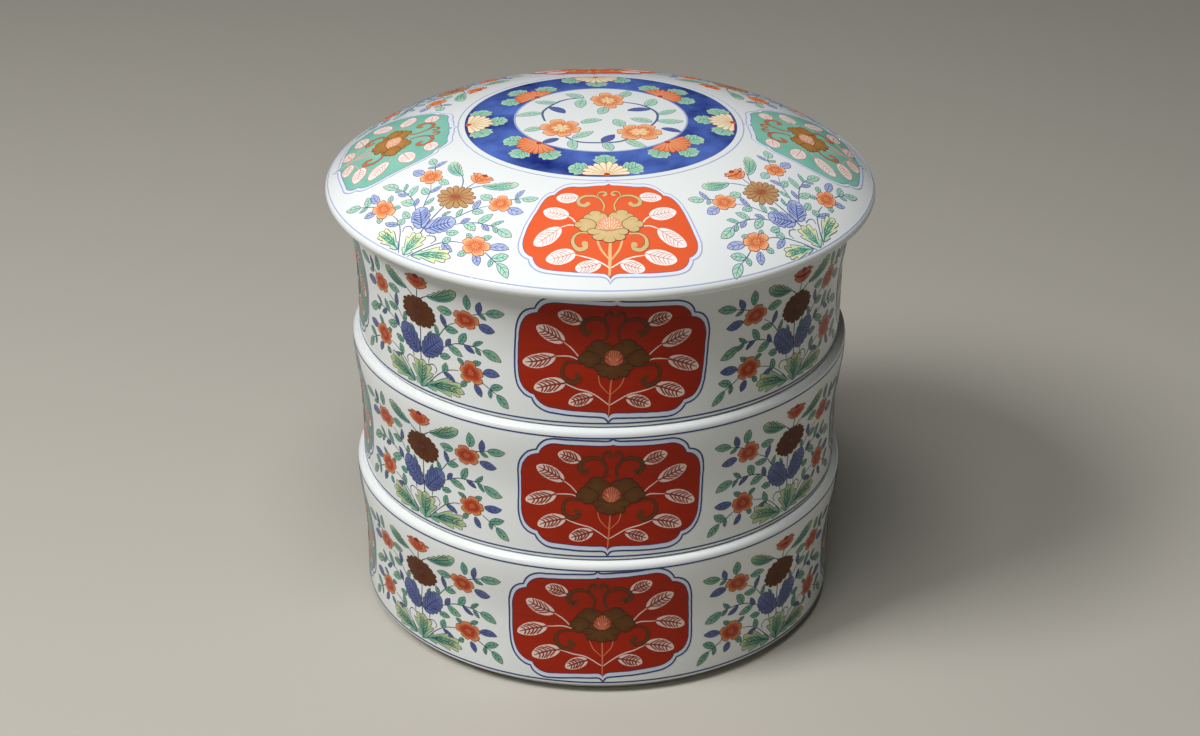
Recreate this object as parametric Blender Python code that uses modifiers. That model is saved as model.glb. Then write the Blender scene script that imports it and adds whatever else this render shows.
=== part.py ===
"""Round three-tier porcelain jubako: three nesting boxes and a domed lid.

Metres, +Z up. The origin is on the axis of the stack, at the face of the foot ring that it stands on.
Every piece is turned about the Z axis. Its own origin is on that axis, at a box's foot or at the lid's seat.
"""

import math

import bpy

# Fits between the pieces
SEAT_GAP = 0.0003            # between a rim and the seat that rests on it
NEST_CLEARANCE = 0.0006      # radial, between a mouth and the ring that drops into it

# Radii and widths of a box
RIM_RADIUS = 0.0825          # outside of the rim
RIM_WIDTH = 0.0053           # from the outside of the rim to the mouth
FLARE_WIDTH = 0.0023         # how far the rim stands out past the lower wall
WALL_THICKNESS = 0.0046      # lower wall
FOOT_WIDTH = 0.0040          # of the ring that a box stands on

# Heights of a box, from the foot upwards
FOOT_DROP = 0.00285          # from the seat down to the foot
EDGE_RISE = 0.00115          # from the seat up to the lower edge of the decorated wall
WALL_HEIGHT = 0.0441         # decorated wall, up to the line under the rim
LIP_HEIGHT = 0.0022          # plain white lip above that line
FLARE_HEIGHT = 0.0248        # part of the wall over which it flares, ending at the line
BASE_HOLLOW = 0.0018         # how far the glazed base lies above the foot
FLOOR_THICKNESS = 0.0044
COVE_RADIUS = 0.0060         # between the floor and the wall inside

# Rounded edges of a box
LIP_ROUND = 0.0015           # outer edge of the rim
MOUTH_ROUND = 0.0008         # inner edge of the rim
FOOT_ROUND = 0.0007          # both edges of the foot ring

# Lid
LID_OVERHANG = 0.00722       # past the outside of the rim
LID_HEIGHT = 0.0236          # from the seat to the crown
LID_THICKNESS = 0.0044       # of the dome
LIP_BULL = 0.00195           # radius of the lid's full-round edge
LIP_DROOP = 0.0007           # how far that edge hangs below the seat
DOME_FLATNESS = 0.453        # share of the dome's fall that is parabolic
DOME_POWER = 4.58            # power of the rest of the fall, which steepens towards the edge
SEAT_WIDTH = 0.0045          # of the ring under the lid that rests on the rim
BRIM_HOLLOW = 0.0016         # depth of the finger hollow under the overhang
FLANGE_DROP = 0.0040         # locating ring below the seat
FLANGE_WIDTH = 0.0034
FLANGE_FILLET = 0.0040       # between that ring and the dome inside
FLANGE_ROUND = 0.0008

TIERS = ("lower_box", "middle_box", "upper_box")

# Facets
SEGMENTS = 60                # round the axis
ROUND_STEPS = 2              # along a small rounded edge
COVE_STEPS = 3
FLARE_STEPS = 4
DOME_STEPS = 10
BULL_STEPS = 5
HOLLOW_STEPS = 4
UNDER_DOME_STEPS = 6
CLOSE = 0.00001              # points nearer than this are one

# Finish
GLAZE_COLOUR = (0.86, 0.89, 0.90, 1.0)
GLAZE_ROUGHNESS = 0.12


def arc(centre_r, centre_z, radius, start, end, steps):
    """Points of a circular arc in the profile plane, angles in degrees from the outward direction."""
    points = []
    for step in range(steps + 1):
        angle = math.radians(start + (end - start) * step / steps)
        points.append((centre_r + radius * math.cos(angle), centre_z + radius * math.sin(angle)))
    return points


def ease(share):
    """S-curve from 0 to 1, level at both ends."""
    share = min(max(share, 0.0), 1.0)
    return share * share * (3.0 - 2.0 * share)


def flare(low_r, high_r, top_z):
    """Points up the flared part of a wall, from its lower radius to the radius at the rim."""
    points = []
    for step in range(FLARE_STEPS + 1):
        share = step / FLARE_STEPS
        points.append((low_r + (high_r - low_r) * ease(share), top_z - FLARE_HEIGHT * (1.0 - share)))
    return points


def mouth_radius():
    return RIM_RADIUS - RIM_WIDTH


def ring_radius():
    """Outside of the ring, on a foot or on the lid, that drops into the mouth below it."""
    return mouth_radius() - NEST_CLEARANCE


def box_height():
    return FOOT_DROP + EDGE_RISE + WALL_HEIGHT + LIP_HEIGHT


def tier_pitch():
    """Height from one box's foot to the next one's: its seat lies just above the rim below."""
    return box_height() + SEAT_GAP - FOOT_DROP


def box_profile():
    """Half section of a box, from the floor's centre over the rim and round under the foot."""
    wall = RIM_RADIUS - FLARE_WIDTH
    inner = wall - WALL_THICKNESS
    mouth = mouth_radius()
    ring = ring_radius()
    foot_inner = ring - FOOT_WIDTH
    floor = BASE_HOLLOW + FLOOR_THICKNESS
    edge = FOOT_DROP + EDGE_RISE
    line = edge + WALL_HEIGHT
    top = box_height()

    points = [(0.0, floor)]
    points += arc(inner - COVE_RADIUS, floor + COVE_RADIUS, COVE_RADIUS, -90.0, 0.0, COVE_STEPS)
    points += flare(inner, mouth, line)
    points += arc(mouth + MOUTH_ROUND, top - MOUTH_ROUND, MOUTH_ROUND, 180.0, 90.0, ROUND_STEPS)
    points += arc(RIM_RADIUS - LIP_ROUND, top - LIP_ROUND, LIP_ROUND, 90.0, 0.0, ROUND_STEPS + 1)
    points += reversed(flare(wall, RIM_RADIUS, line))
    points += arc(wall - EDGE_RISE, edge, EDGE_RISE, 0.0, -90.0, ROUND_STEPS)
    points += [(ring, FOOT_DROP)]
    points += arc(ring - FOOT_ROUND, FOOT_ROUND, FOOT_ROUND, 0.0, -90.0, ROUND_STEPS)
    points += arc(foot_inner + FOOT_ROUND, FOOT_ROUND, FOOT_ROUND, -90.0, -180.0, 1)
    points += [(foot_inner, BASE_HOLLOW), (0.0, BASE_HOLLOW)]
    return points


def dome_fall(share):
    """Share of the dome's rise that is lost at a share of its radius."""
    return DOME_FLATNESS * share ** 2 + (1.0 - DOME_FLATNESS) * share ** DOME_POWER


def dome_lean(share, rise, radius):
    """Angle of the dome's surface below the horizontal at a share of its radius."""
    steepness = 2.0 * DOME_FLATNESS * share + DOME_POWER * (1.0 - DOME_FLATNESS) * share ** (DOME_POWER - 1.0)
    return math.atan(rise / radius * steepness)


def lid_profile():
    """Half section of the lid above and below its seat, from the crown over the edge and under the dome."""
    lid_radius = RIM_RADIUS + LID_OVERHANG
    bull_r = lid_radius - LIP_BULL
    bull_z = LIP_BULL - LIP_DROOP
    tilt = dome_lean(1.0, LID_HEIGHT - bull_z, lid_radius)
    edge_r = bull_r + LIP_BULL * math.sin(tilt)
    edge_z = bull_z + LIP_BULL * math.cos(tilt)
    rise = LID_HEIGHT - edge_z
    ring = ring_radius()
    flange_inner = ring - FLANGE_WIDTH
    seat_outer = ring + SEAT_WIDTH

    def dome(radius):
        return LID_HEIGHT - rise * dome_fall(radius / edge_r)

    points = []
    for step in range(DOME_STEPS):
        radius = edge_r * math.sin(math.pi / 2.0 * step / DOME_STEPS)
        points.append((radius, dome(radius)))
    points += arc(bull_r, bull_z, LIP_BULL, 90.0 - math.degrees(tilt), -90.0, BULL_STEPS)

    # The finger hollow runs from the edge's lowest point up and back down to the seat
    for step in range(1, HOLLOW_STEPS + 1):
        share = step / HOLLOW_STEPS
        radius = bull_r + (seat_outer - bull_r) * share
        points.append((radius, BRIM_HOLLOW * math.sin(math.pi * share) - LIP_DROOP * (1.0 - share)))

    points += [(ring, 0.0)]
    low = FLANGE_ROUND - FLANGE_DROP
    points += arc(ring - FLANGE_ROUND, low, FLANGE_ROUND, 0.0, -90.0, ROUND_STEPS)
    points += arc(flange_inner + FLANGE_ROUND, low, FLANGE_ROUND, -90.0, -180.0, ROUND_STEPS)

    # A fillet leads from the locating ring into the underside of the dome
    fillet_r = flange_inner - FLANGE_FILLET
    lean = dome_lean(fillet_r / edge_r, rise, edge_r)
    fillet_z = dome(fillet_r) - LID_THICKNESS - FLANGE_FILLET * math.cos(lean)
    points += arc(fillet_r, fillet_z, FLANGE_FILLET, 0.0, 90.0 - math.degrees(lean), ROUND_STEPS)
    under_r = points[-1][0]
    for step in range(1, UNDER_DOME_STEPS):
        radius = under_r * math.cos(math.pi / 2.0 * step / UNDER_DOME_STEPS)
        points.append((radius, dome(radius) - LID_THICKNESS))
    points.append((0.0, LID_HEIGHT - LID_THICKNESS))
    return points


def clean(points):
    """The same outline without points that fall on the one before."""
    kept = [points[0]]
    for point in points[1:]:
        if math.dist(point, kept[-1]) > CLOSE:
            kept.append(point)
    return kept


def glaze(name):
    """Own material of one piece: clear glaze over white porcelain."""
    material = bpy.data.materials.new(name + "_porcelain")
    material.use_nodes = True
    shader = material.node_tree.nodes["Principled BSDF"]
    shader.inputs["Base Color"].default_value = GLAZE_COLOUR
    shader.inputs["Roughness"].default_value = GLAZE_ROUGHNESS
    shader.inputs["Metallic"].default_value = 0.0
    material.diffuse_color = GLAZE_COLOUR
    return material


def turned(name, points, height, collection, parent):
    """One turned piece, from a half section at +X, standing at a height on the axis of the stack."""
    points = clean(points)
    mesh = bpy.data.meshes.new(name)
    edges = [(index, index + 1) for index in range(len(points) - 1)]
    mesh.from_pydata([(r, 0.0, z) for r, z in points], edges, [])
    piece = bpy.data.objects.new(name, mesh)
    collection.objects.link(piece)
    piece.data.materials.append(glaze(name))

    screw = piece.modifiers.new("turn", "SCREW")
    screw.axis = "Z"
    screw.angle = 2.0 * math.pi
    screw.steps = SEGMENTS
    screw.render_steps = SEGMENTS
    screw.use_merge_vertices = True
    screw.merge_threshold = CLOSE
    screw.use_smooth_shade = True

    piece.parent = parent
    piece.location = (0.0, 0.0, height)
    return piece


def main():
    for item in list(bpy.data.objects):
        bpy.data.objects.remove(item, do_unlink=True)

    collection = bpy.data.collections.new("porcelain_jubako")
    bpy.context.scene.collection.children.link(collection)
    stack = bpy.data.objects.new("stack_axis", None)
    stack.empty_display_size = RIM_RADIUS
    collection.objects.link(stack)

    foot = 0.0
    for name in TIERS:
        turned(name, box_profile(), foot, collection, stack)
        foot += tier_pitch()
    seat = foot + FOOT_DROP
    turned("lid", lid_profile(), seat, collection, stack)


main()
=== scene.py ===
"""Looks of a round three-tier porcelain jubako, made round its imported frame.

The porcelain is turned afresh from fine half sections and stands for the four CAD nodes. The painting on it
is drawn flat, in millimetres, as thin closed coats of pigment, and Geometry Nodes lay the drawings on the
walls and on the dome. In a drawing u runs to the right and v upwards, as seen from outside.
"""

import math
import random

import bmesh
import bpy
from mathutils import Matrix, Vector, noise


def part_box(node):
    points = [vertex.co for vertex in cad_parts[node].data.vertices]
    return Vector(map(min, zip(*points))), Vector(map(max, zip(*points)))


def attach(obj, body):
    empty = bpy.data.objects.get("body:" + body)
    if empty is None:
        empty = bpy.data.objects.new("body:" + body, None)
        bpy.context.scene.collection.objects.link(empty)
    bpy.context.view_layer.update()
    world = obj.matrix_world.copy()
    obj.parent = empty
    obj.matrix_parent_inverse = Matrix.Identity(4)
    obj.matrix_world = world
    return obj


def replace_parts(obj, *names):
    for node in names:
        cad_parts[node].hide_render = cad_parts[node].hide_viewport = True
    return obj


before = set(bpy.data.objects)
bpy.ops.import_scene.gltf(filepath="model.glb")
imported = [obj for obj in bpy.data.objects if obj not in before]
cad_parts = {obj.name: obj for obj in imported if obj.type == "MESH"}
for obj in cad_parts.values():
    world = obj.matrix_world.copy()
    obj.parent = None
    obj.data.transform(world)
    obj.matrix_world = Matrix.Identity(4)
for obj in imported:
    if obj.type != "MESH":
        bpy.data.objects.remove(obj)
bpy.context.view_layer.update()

MM = 0.001
TIERS = ("lower_box", "middle_box", "upper_box")

# Sizes of the porcelain in millimetres, the first ones from the frame
RIM_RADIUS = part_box("lower_box")[1].x / MM
BOX_HEIGHT = (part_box("lower_box")[1].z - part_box("lower_box")[0].z) / MM
LID_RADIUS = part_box("lid")[1].x / MM
LID_HEIGHT = 23.6
LID_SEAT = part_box("lid")[1].z / MM - LID_HEIGHT
NEST_CLEARANCE = 0.6
RIM_WIDTH = 5.3
FLARE_WIDTH = 2.3
WALL_THICKNESS = 4.6
FOOT_WIDTH = 4.0
FOOT_DROP = 2.85
EDGE_RISE = 1.15
LIP_HEIGHT = 2.2
FLARE_HEIGHT = 24.8
BASE_HOLLOW = 1.8
FLOOR_THICKNESS = 4.4
COVE_RADIUS = 6.0
LIP_ROUND = 1.5
MOUTH_ROUND = 0.8
FOOT_ROUND = 0.7
LID_THICKNESS = 4.4
LIP_BULL = 1.95
LIP_DROOP = 0.7
DOME_FLATNESS = 0.453
DOME_POWER = 4.58
SEAT_WIDTH = 4.5
BRIM_HOLLOW = 1.6
FLANGE_DROP = 4.0
FLANGE_WIDTH = 3.4
FLANGE_FILLET = 4.0
FLANGE_ROUND = 0.8

# Sizes that follow from those
WALL_RADIUS = RIM_RADIUS - FLARE_WIDTH
MOUTH_RADIUS = RIM_RADIUS - RIM_WIDTH
RING_RADIUS = MOUTH_RADIUS - NEST_CLEARANCE
LINE_HEIGHT = BOX_HEIGHT - LIP_HEIGHT          # of the line under the rim, above the foot
EDGE_HEIGHT = FOOT_DROP + EDGE_RISE            # of the wall's lower edge, above the foot
BULL_CENTRE = (LID_RADIUS - LIP_BULL, LIP_BULL - LIP_DROOP)

# Fineness of the turned surfaces
SEGMENTS = 288
ROUND_STEPS = 7
FLARE_STEPS = 24
DOME_STEPS = 60
PLAIN_STEP = 6.0                               # between rings on long plain faces
SHARP_ANGLE = 38.0                             # degrees, past which an edge is shaded as an edge
MERGE_DISTANCE = 0.001                         # points of a turned surface nearer than this are one

# Coats of paint: height of one step, and of a coat's hidden underside, in millimetres above the glaze
COAT_STEP = 0.010
SUNK = -0.020

# Levels of the coats in such steps: the wash in a panel's border, its field, stems, leaves and flowers
WASH, FIELD, STEM, BLADE, PETAL = 1.4, 3.2, 5.0, 6.0, 9.0
HIGH_BLADE = 7.0                               # of leaves and tendrils that lie over others
OVER_BLADE = 0.7                               # of a line above the leaf that it is drawn on
OVER_PETAL = 2.0                               # of a line above the flower that it is drawn on
OVER_BLOOM = 3.0                               # of a heart or crest above the flower's petals

EVEN_TONE = 0.5                                # middling thickness of pigment, from thin 0 to thick 1

# Where the drawings' widths are true, and how far the dome's drawings count from
WALL_SCALE_RADIUS = WALL_RADIUS
DOME_SCALE_RADIUS = 66.0
DOME_ORIGIN = 90.0                             # radius at which v is 0; it grows towards the crown

# How far each painted body is turned from the front panel's middle, in degrees
TURNS = {"lower_box": 0.9, "middle_box": 2.7, "upper_box": 2.9, "lid": 2.5}

# How far each front panel is tilted to the left, in degrees, and the width of its left half
# as a share of the right one's
HANDS = {"lower_box": (3.0, 1.0), "middle_box": (-1.2, 0.97), "upper_box": (-2.8, 1.0), "lid": (-1.1, 1.0)}

GREEN_BEARING = 90.0                           # in degrees from the front panel
HALF_ROUND = 2                                 # copies of half a body's painting
QUARTER_ROUND = 4                              # copies of a quarter of the cobalt band's flowers

# How a hand-held brush wanders, slowly and quickly: waves per millimetre, and how far sideways and upwards
WANDERS = ((0.09, 0.5, 0.4), (0.45, 0.1, 0.1))

# Unglazed rings: heights between which the body is bare, above a box's foot and above the lid's seat
BARE_FOOT = (-0.1, 0.35)
BARE_SEAT = (-0.01, 0.12)
CLOSE = 0.01                                   # less than this doesn't count as a distance

SEED = 5

# Pigment of a leaf's veins
LEAF_LINES = {"green": "leaf_line", "mint": "leaf_line", "blue": "cobalt", "night_blue": "cobalt"}


# Half sections of the porcelain

def arc(centre_r, centre_z, radius, start, end, steps=ROUND_STEPS):
    """Points of a circular arc in the profile plane, angles in degrees from the outward direction."""
    points = []
    for step in range(steps + 1):
        angle = math.radians(start + (end - start) * step / steps)
        points.append((centre_r + radius * math.cos(angle), centre_z + radius * math.sin(angle)))
    return points


def straight(start, end):
    """Points between two ends, for a long plain face, without the ends."""
    steps = max(1, round(math.dist(start, end) / PLAIN_STEP))
    return [tuple(a + (b - a) * step / steps for a, b in zip(start, end)) for step in range(1, steps)]


def ease(share):
    """S-curve from 0 to 1, level at both ends."""
    share = min(max(share, 0.0), 1.0)
    return share * share * (3.0 - 2.0 * share)


def flare(low_r, high_r):
    """Points up the flared part of a wall, which ends at the line under the rim."""
    points = []
    for step in range(FLARE_STEPS + 1):
        share = step / FLARE_STEPS
        points.append((low_r + (high_r - low_r) * ease(share), LINE_HEIGHT - FLARE_HEIGHT * (1.0 - share)))
    return points


def wall_radius(height):
    """Outside of a box's wall at a height above its foot."""
    return WALL_RADIUS + FLARE_WIDTH * ease((height - LINE_HEIGHT + FLARE_HEIGHT) / FLARE_HEIGHT)


def box_section():
    """Half section of a box, from the floor's centre over the rim and round under the foot."""
    inner = WALL_RADIUS - WALL_THICKNESS
    floor = BASE_HOLLOW + FLOOR_THICKNESS
    foot_inner = RING_RADIUS - FOOT_WIDTH
    flare_start = LINE_HEIGHT - FLARE_HEIGHT

    points = [(0.0, floor)]
    points += straight((0.0, floor), (inner - COVE_RADIUS, floor))
    points += arc(inner - COVE_RADIUS, floor + COVE_RADIUS, COVE_RADIUS, -90.0, 0.0)
    points += straight((inner, floor + COVE_RADIUS), (inner, flare_start))
    points += flare(inner, MOUTH_RADIUS)
    points += arc(MOUTH_RADIUS + MOUTH_ROUND, BOX_HEIGHT - MOUTH_ROUND, MOUTH_ROUND, 180.0, 90.0)
    points += arc(RIM_RADIUS - LIP_ROUND, BOX_HEIGHT - LIP_ROUND, LIP_ROUND, 90.0, 0.0)
    points += reversed(flare(WALL_RADIUS, RIM_RADIUS))
    points += straight((WALL_RADIUS, flare_start), (WALL_RADIUS, EDGE_HEIGHT))
    points += arc(WALL_RADIUS - EDGE_RISE, EDGE_HEIGHT, EDGE_RISE, 0.0, -90.0)
    points += [(RING_RADIUS, FOOT_DROP)]
    points += arc(RING_RADIUS - FOOT_ROUND, FOOT_ROUND, FOOT_ROUND, 0.0, -90.0)
    points += arc(foot_inner + FOOT_ROUND, FOOT_ROUND, FOOT_ROUND, -90.0, -180.0)
    points += [(foot_inner, BASE_HOLLOW)]
    points += straight((foot_inner, BASE_HOLLOW), (0.0, BASE_HOLLOW))
    points += [(0.0, BASE_HOLLOW)]
    return points


def dome_steepness(share):
    """Slope of the dome's fall at a share of its radius, as a share of rise over radius."""
    return 2.0 * DOME_FLATNESS * share + DOME_POWER * (1.0 - DOME_FLATNESS) * share ** (DOME_POWER - 1.0)


def dome_edge():
    """Radius, height and lean of the dome where it runs into the lid's full-round edge."""
    lean = math.atan((LID_HEIGHT - BULL_CENTRE[1]) / LID_RADIUS * dome_steepness(1.0))
    return BULL_CENTRE[0] + LIP_BULL * math.sin(lean), BULL_CENTRE[1] + LIP_BULL * math.cos(lean), lean


DOME_RADIUS, DOME_EDGE_HEIGHT, DOME_EDGE_LEAN = dome_edge()
DOME_RISE = LID_HEIGHT - DOME_EDGE_HEIGHT


def dome_height(radius):
    """Height of the dome above the lid's seat."""
    share = radius / DOME_RADIUS
    fall = DOME_FLATNESS * share ** 2 + (1.0 - DOME_FLATNESS) * share ** DOME_POWER
    return LID_HEIGHT - DOME_RISE * fall


def dome_lean(radius):
    """Angle of the dome's surface below the horizontal."""
    return math.atan(DOME_RISE / DOME_RADIUS * dome_steepness(radius / DOME_RADIUS))


def lid_section():
    """Half section of the lid from its seat, from the crown over the edge and under the dome."""
    seat_outer = RING_RADIUS + SEAT_WIDTH
    flange_inner = RING_RADIUS - FLANGE_WIDTH
    flange_low = FLANGE_ROUND - FLANGE_DROP

    points = []
    for step in range(DOME_STEPS):
        radius = DOME_RADIUS * math.sin(math.pi / 2.0 * step / DOME_STEPS)
        points.append((radius, dome_height(radius)))
    points += arc(*BULL_CENTRE, LIP_BULL, 90.0 - math.degrees(DOME_EDGE_LEAN), -90.0, 2 * ROUND_STEPS)
    for step in range(1, 2 * ROUND_STEPS + 1):
        share = step / (2 * ROUND_STEPS)
        radius = BULL_CENTRE[0] + (seat_outer - BULL_CENTRE[0]) * share
        points.append((radius, BRIM_HOLLOW * math.sin(math.pi * share) - LIP_DROOP * (1.0 - share)))
    points += [(RING_RADIUS, 0.0)]
    points += arc(RING_RADIUS - FLANGE_ROUND, flange_low, FLANGE_ROUND, 0.0, -90.0)
    points += arc(flange_inner + FLANGE_ROUND, flange_low, FLANGE_ROUND, -90.0, -180.0)

    # A fillet leads from the locating ring into the underside of the dome
    fillet_r = flange_inner - FLANGE_FILLET
    lean = dome_lean(fillet_r)
    fillet_z = dome_height(fillet_r) - LID_THICKNESS - FLANGE_FILLET * math.cos(lean)
    points += arc(fillet_r, fillet_z, FLANGE_FILLET, 0.0, 90.0 - math.degrees(lean))
    under_r = points[-1][0]
    for step in range(1, DOME_STEPS // 2):
        radius = under_r * math.cos(math.pi * step / DOME_STEPS)
        points.append((radius, dome_height(radius) - LID_THICKNESS))
    points.append((0.0, LID_HEIGHT - LID_THICKNESS))
    return points


def over_wall(height, lift):
    """Point of the profile plane that lies a little off a box's wall."""
    return wall_radius(height) + lift, height


def over_dome(radius, lift):
    """Point of the profile plane that lies a little off the dome, along its normal."""
    lean = dome_lean(radius)
    return radius + lift * math.sin(lean), dome_height(radius) + lift * math.cos(lean)


def painted_ring(over, low, high, level, steps=1):
    """Closed section of a painted line or band between two heights or radii."""
    shares = [step / steps for step in range(steps + 1)]
    across = [low + (high - low) * share for share in shares]
    top = [over(place, level * COAT_STEP) for place in across]
    under = [over(place, SUNK) for place in reversed(across)]
    return top + under


# Node trees

class NodeMaker:
    """Adds nodes to a tree: a socket given for an input is linked, anything else is set on it."""

    def __init__(self, tree):
        self.tree = tree

    def put(self, socket, value):
        if isinstance(value, bpy.types.NodeSocket):
            self.tree.links.new(value, socket)
        else:
            socket.default_value = value

    def add(self, kind, inputs=None, **settings):
        node = self.tree.nodes.new(kind)
        for name, value in settings.items():
            setattr(node, name, value)
        for key, value in (inputs or {}).items():
            self.put(node.inputs[key], value)
        return node

    def math(self, operation, *terms):
        node = self.tree.nodes.new("ShaderNodeMath")
        node.operation = operation
        for socket, term in zip(node.inputs, terms):
            self.put(socket, term)
        return node.outputs[0]


class ShapeTree(NodeMaker):
    """A Geometry Nodes tree that turns one input mesh into a finished piece."""

    def __init__(self, name, mesh_name):
        super().__init__(bpy.data.node_groups.new(name, "GeometryNodeTree"))
        self.tree.interface.new_socket(mesh_name, in_out="INPUT", socket_type="NodeSocketGeometry")
        self.tree.interface.new_socket("Piece", in_out="OUTPUT", socket_type="NodeSocketGeometry")
        self.entry = self.tree.nodes.new("NodeGroupInput")
        self.leave = self.tree.nodes.new("NodeGroupOutput")
        self.mesh = self.entry.outputs[mesh_name]

    def size(self, name, kind="Float"):
        """A named input of the tree."""
        self.tree.interface.new_socket(name, in_out="INPUT", socket_type="NodeSocket" + kind)
        return self.entry.outputs[name]

    def place(self):
        """The coordinates of the input mesh's points."""
        position = self.add("GeometryNodeInputPosition").outputs[0]
        return self.add("ShaderNodeSeparateXYZ", {0: position}).outputs

    def wrap(self, scale_radius, turn, radius, height):
        """Moves the points to a radius and a height; u becomes their way round the Z axis."""
        angle = self.math("ADD", self.math("DIVIDE", self.place()["X"], scale_radius), turn)
        backwards = self.math("MULTIPLY", self.math("COSINE", angle), -1.0)
        wrapped = self.add("ShaderNodeCombineXYZ", {
            "X": self.math("MULTIPLY", radius, self.math("SINE", angle)),
            "Y": self.math("MULTIPLY", radius, backwards),
            "Z": height,
        })
        laid = self.add("GeometryNodeSetPosition", {"Geometry": self.mesh, "Position": wrapped.outputs[0]})
        return laid.outputs[0]

    def close(self, geometry, copies=None):
        """Repeats the shape evenly round the Z axis, makes it real and gives it its material."""
        if copies is not None:
            places = self.add("GeometryNodePoints", {"Count": copies})
            step = self.math("DIVIDE", 2.0 * math.pi, copies)
            order = self.tree.nodes.new("GeometryNodeInputIndex").outputs[0]
            turn = self.add("ShaderNodeCombineXYZ", {"Z": self.math("MULTIPLY", order, step)})
            spread = self.add("GeometryNodeInstanceOnPoints", {
                "Points": places.outputs[0],
                "Instance": geometry,
                "Rotation": turn.outputs[0],
            })
            geometry = spread.outputs[0]
        real = self.add("GeometryNodeRealizeInstances", {0: geometry})
        painted = self.add("GeometryNodeSetMaterial", {
            "Geometry": real.outputs[0],
            "Material": self.size("Finish", "Material"),
        })
        self.put(self.leave.inputs[0], painted.outputs[0])
        return self.tree


def turning_tree():
    """Turns a half section, drawn in the XZ plane, about the Z axis."""
    maker = ShapeTree("turned_on_the_axis", "Half Section")
    segments = maker.size("Segments", "Int")
    path_radius = maker.size("Path Radius")
    height = maker.size("Standing Height")

    # The sweep reads a section's X outwards from its path and its Y downwards
    place = maker.place()
    flat = maker.add("ShaderNodeCombineXYZ", {
        "X": maker.math("SUBTRACT", place["X"], path_radius),
        "Y": maker.math("MULTIPLY", place["Z"], -1.0),
    })
    laid = maker.add("GeometryNodeSetPosition", {"Geometry": maker.mesh, "Position": flat.outputs[0]})
    section = maker.add("GeometryNodeMeshToCurve", {0: laid.outputs[0]})
    circle = maker.add("GeometryNodeCurvePrimitiveCircle", {"Resolution": segments, "Radius": path_radius})
    path = maker.add("GeometryNodeSetCurveNormal", {0: circle.outputs[0]}, mode="Z_UP")
    swept = maker.add("GeometryNodeCurveToMesh", {
        "Curve": path.outputs[0],
        "Profile Curve": section.outputs[0],
    })
    merged = maker.add("GeometryNodeMergeByDistance", {
        "Geometry": swept.outputs[0],
        "Distance": MERGE_DISTANCE * MM,
    })
    lift = maker.add("ShaderNodeCombineXYZ", {"Z": height})
    raised = maker.add("GeometryNodeTransform", {
        "Geometry": merged.outputs[0],
        "Translation": lift.outputs[0],
    })
    return maker.close(raised.outputs[0])


def wall_tree():
    """Lays a drawing on a box's flared wall and repeats it round the box."""
    maker = ShapeTree("painted_on_the_wall", "Drawing")
    scale_radius = maker.size("Scale Radius")
    wall = maker.size("Wall Radius")
    flare_width = maker.size("Flare Width")
    flare_height = maker.size("Flare Height")
    line_height = maker.size("Line Height")
    foot = maker.size("Foot Height")
    turn = maker.size("Turn")
    copies = maker.size("Copies", "Int")

    place = maker.place()
    share = maker.add("ShaderNodeMapRange", {
        "Value": place["Y"],
        "From Min": maker.math("SUBTRACT", line_height, flare_height),
        "From Max": line_height,
    }, interpolation_type="SMOOTHSTEP")
    swell = maker.math("MULTIPLY", share.outputs[0], flare_width)
    radius = maker.math("ADD", maker.math("ADD", wall, swell), place["Z"])
    height = maker.math("ADD", place["Y"], foot)
    return maker.close(maker.wrap(scale_radius, turn, radius, height), copies)


def dome_tree():
    """Lays a drawing on the lid's dome and repeats it round the crown."""
    maker = ShapeTree("painted_on_the_dome", "Drawing")
    scale_radius = maker.size("Scale Radius")
    origin = maker.size("Origin Radius")
    dome = maker.size("Dome Radius")
    rise = maker.size("Dome Rise")
    crown = maker.size("Crown Height")
    flatness = maker.size("Flatness")
    power = maker.size("Power")
    turn = maker.size("Turn")
    copies = maker.size("Copies", "Int")

    place = maker.place()
    radius = maker.math("SUBTRACT", origin, place["Y"])
    share = maker.math("DIVIDE", radius, dome)
    rest = maker.math("SUBTRACT", 1.0, flatness)
    parabola = maker.math("MULTIPLY", flatness, maker.math("MULTIPLY", share, share))
    brink = maker.math("MULTIPLY", rest, maker.math("POWER", share, power))
    fall = maker.math("MULTIPLY", rise, maker.math("ADD", parabola, brink))
    height = maker.math("SUBTRACT", crown, fall)

    # The coats stand off along the dome's normal, whose lean follows from the slope of that fall
    gentle = maker.math("MULTIPLY", 2.0, maker.math("MULTIPLY", flatness, share))
    less = maker.math("SUBTRACT", power, 1.0)
    steep = maker.math("MULTIPLY", maker.math("MULTIPLY", power, rest), maker.math("POWER", share, less))
    slope = maker.math("MULTIPLY", maker.math("DIVIDE", rise, dome), maker.math("ADD", gentle, steep))
    lean = maker.math("ARCTANGENT", slope)
    coat = place["Z"]
    out = maker.math("ADD", radius, maker.math("MULTIPLY", coat, maker.math("SINE", lean)))
    up = maker.math("ADD", height, maker.math("MULTIPLY", coat, maker.math("COSINE", lean)))
    return maker.close(maker.wrap(scale_radius, turn, out, up), copies)


TURNING = turning_tree()
WALL_PAINTING = wall_tree()
DOME_PAINTING = dome_tree()


def grown(name, mesh, tree, sizes):
    """The plain mesh that a tree makes of an input mesh."""
    mesh.materials.append(sizes["Finish"])
    holder = bpy.data.objects.new(name, mesh)
    bpy.context.scene.collection.objects.link(holder)
    modifier = holder.modifiers.new(tree.name, "NODES")
    modifier.node_group = tree
    for size, value in sizes.items():
        modifier[tree.interface.items_tree[size].identifier] = value
    seen = bpy.context.evaluated_depsgraph_get()
    result = bpy.data.meshes.new_from_object(holder.evaluated_get(seen))
    bpy.data.objects.remove(holder)
    bpy.data.meshes.remove(mesh)
    result.name = name
    return result


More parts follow.
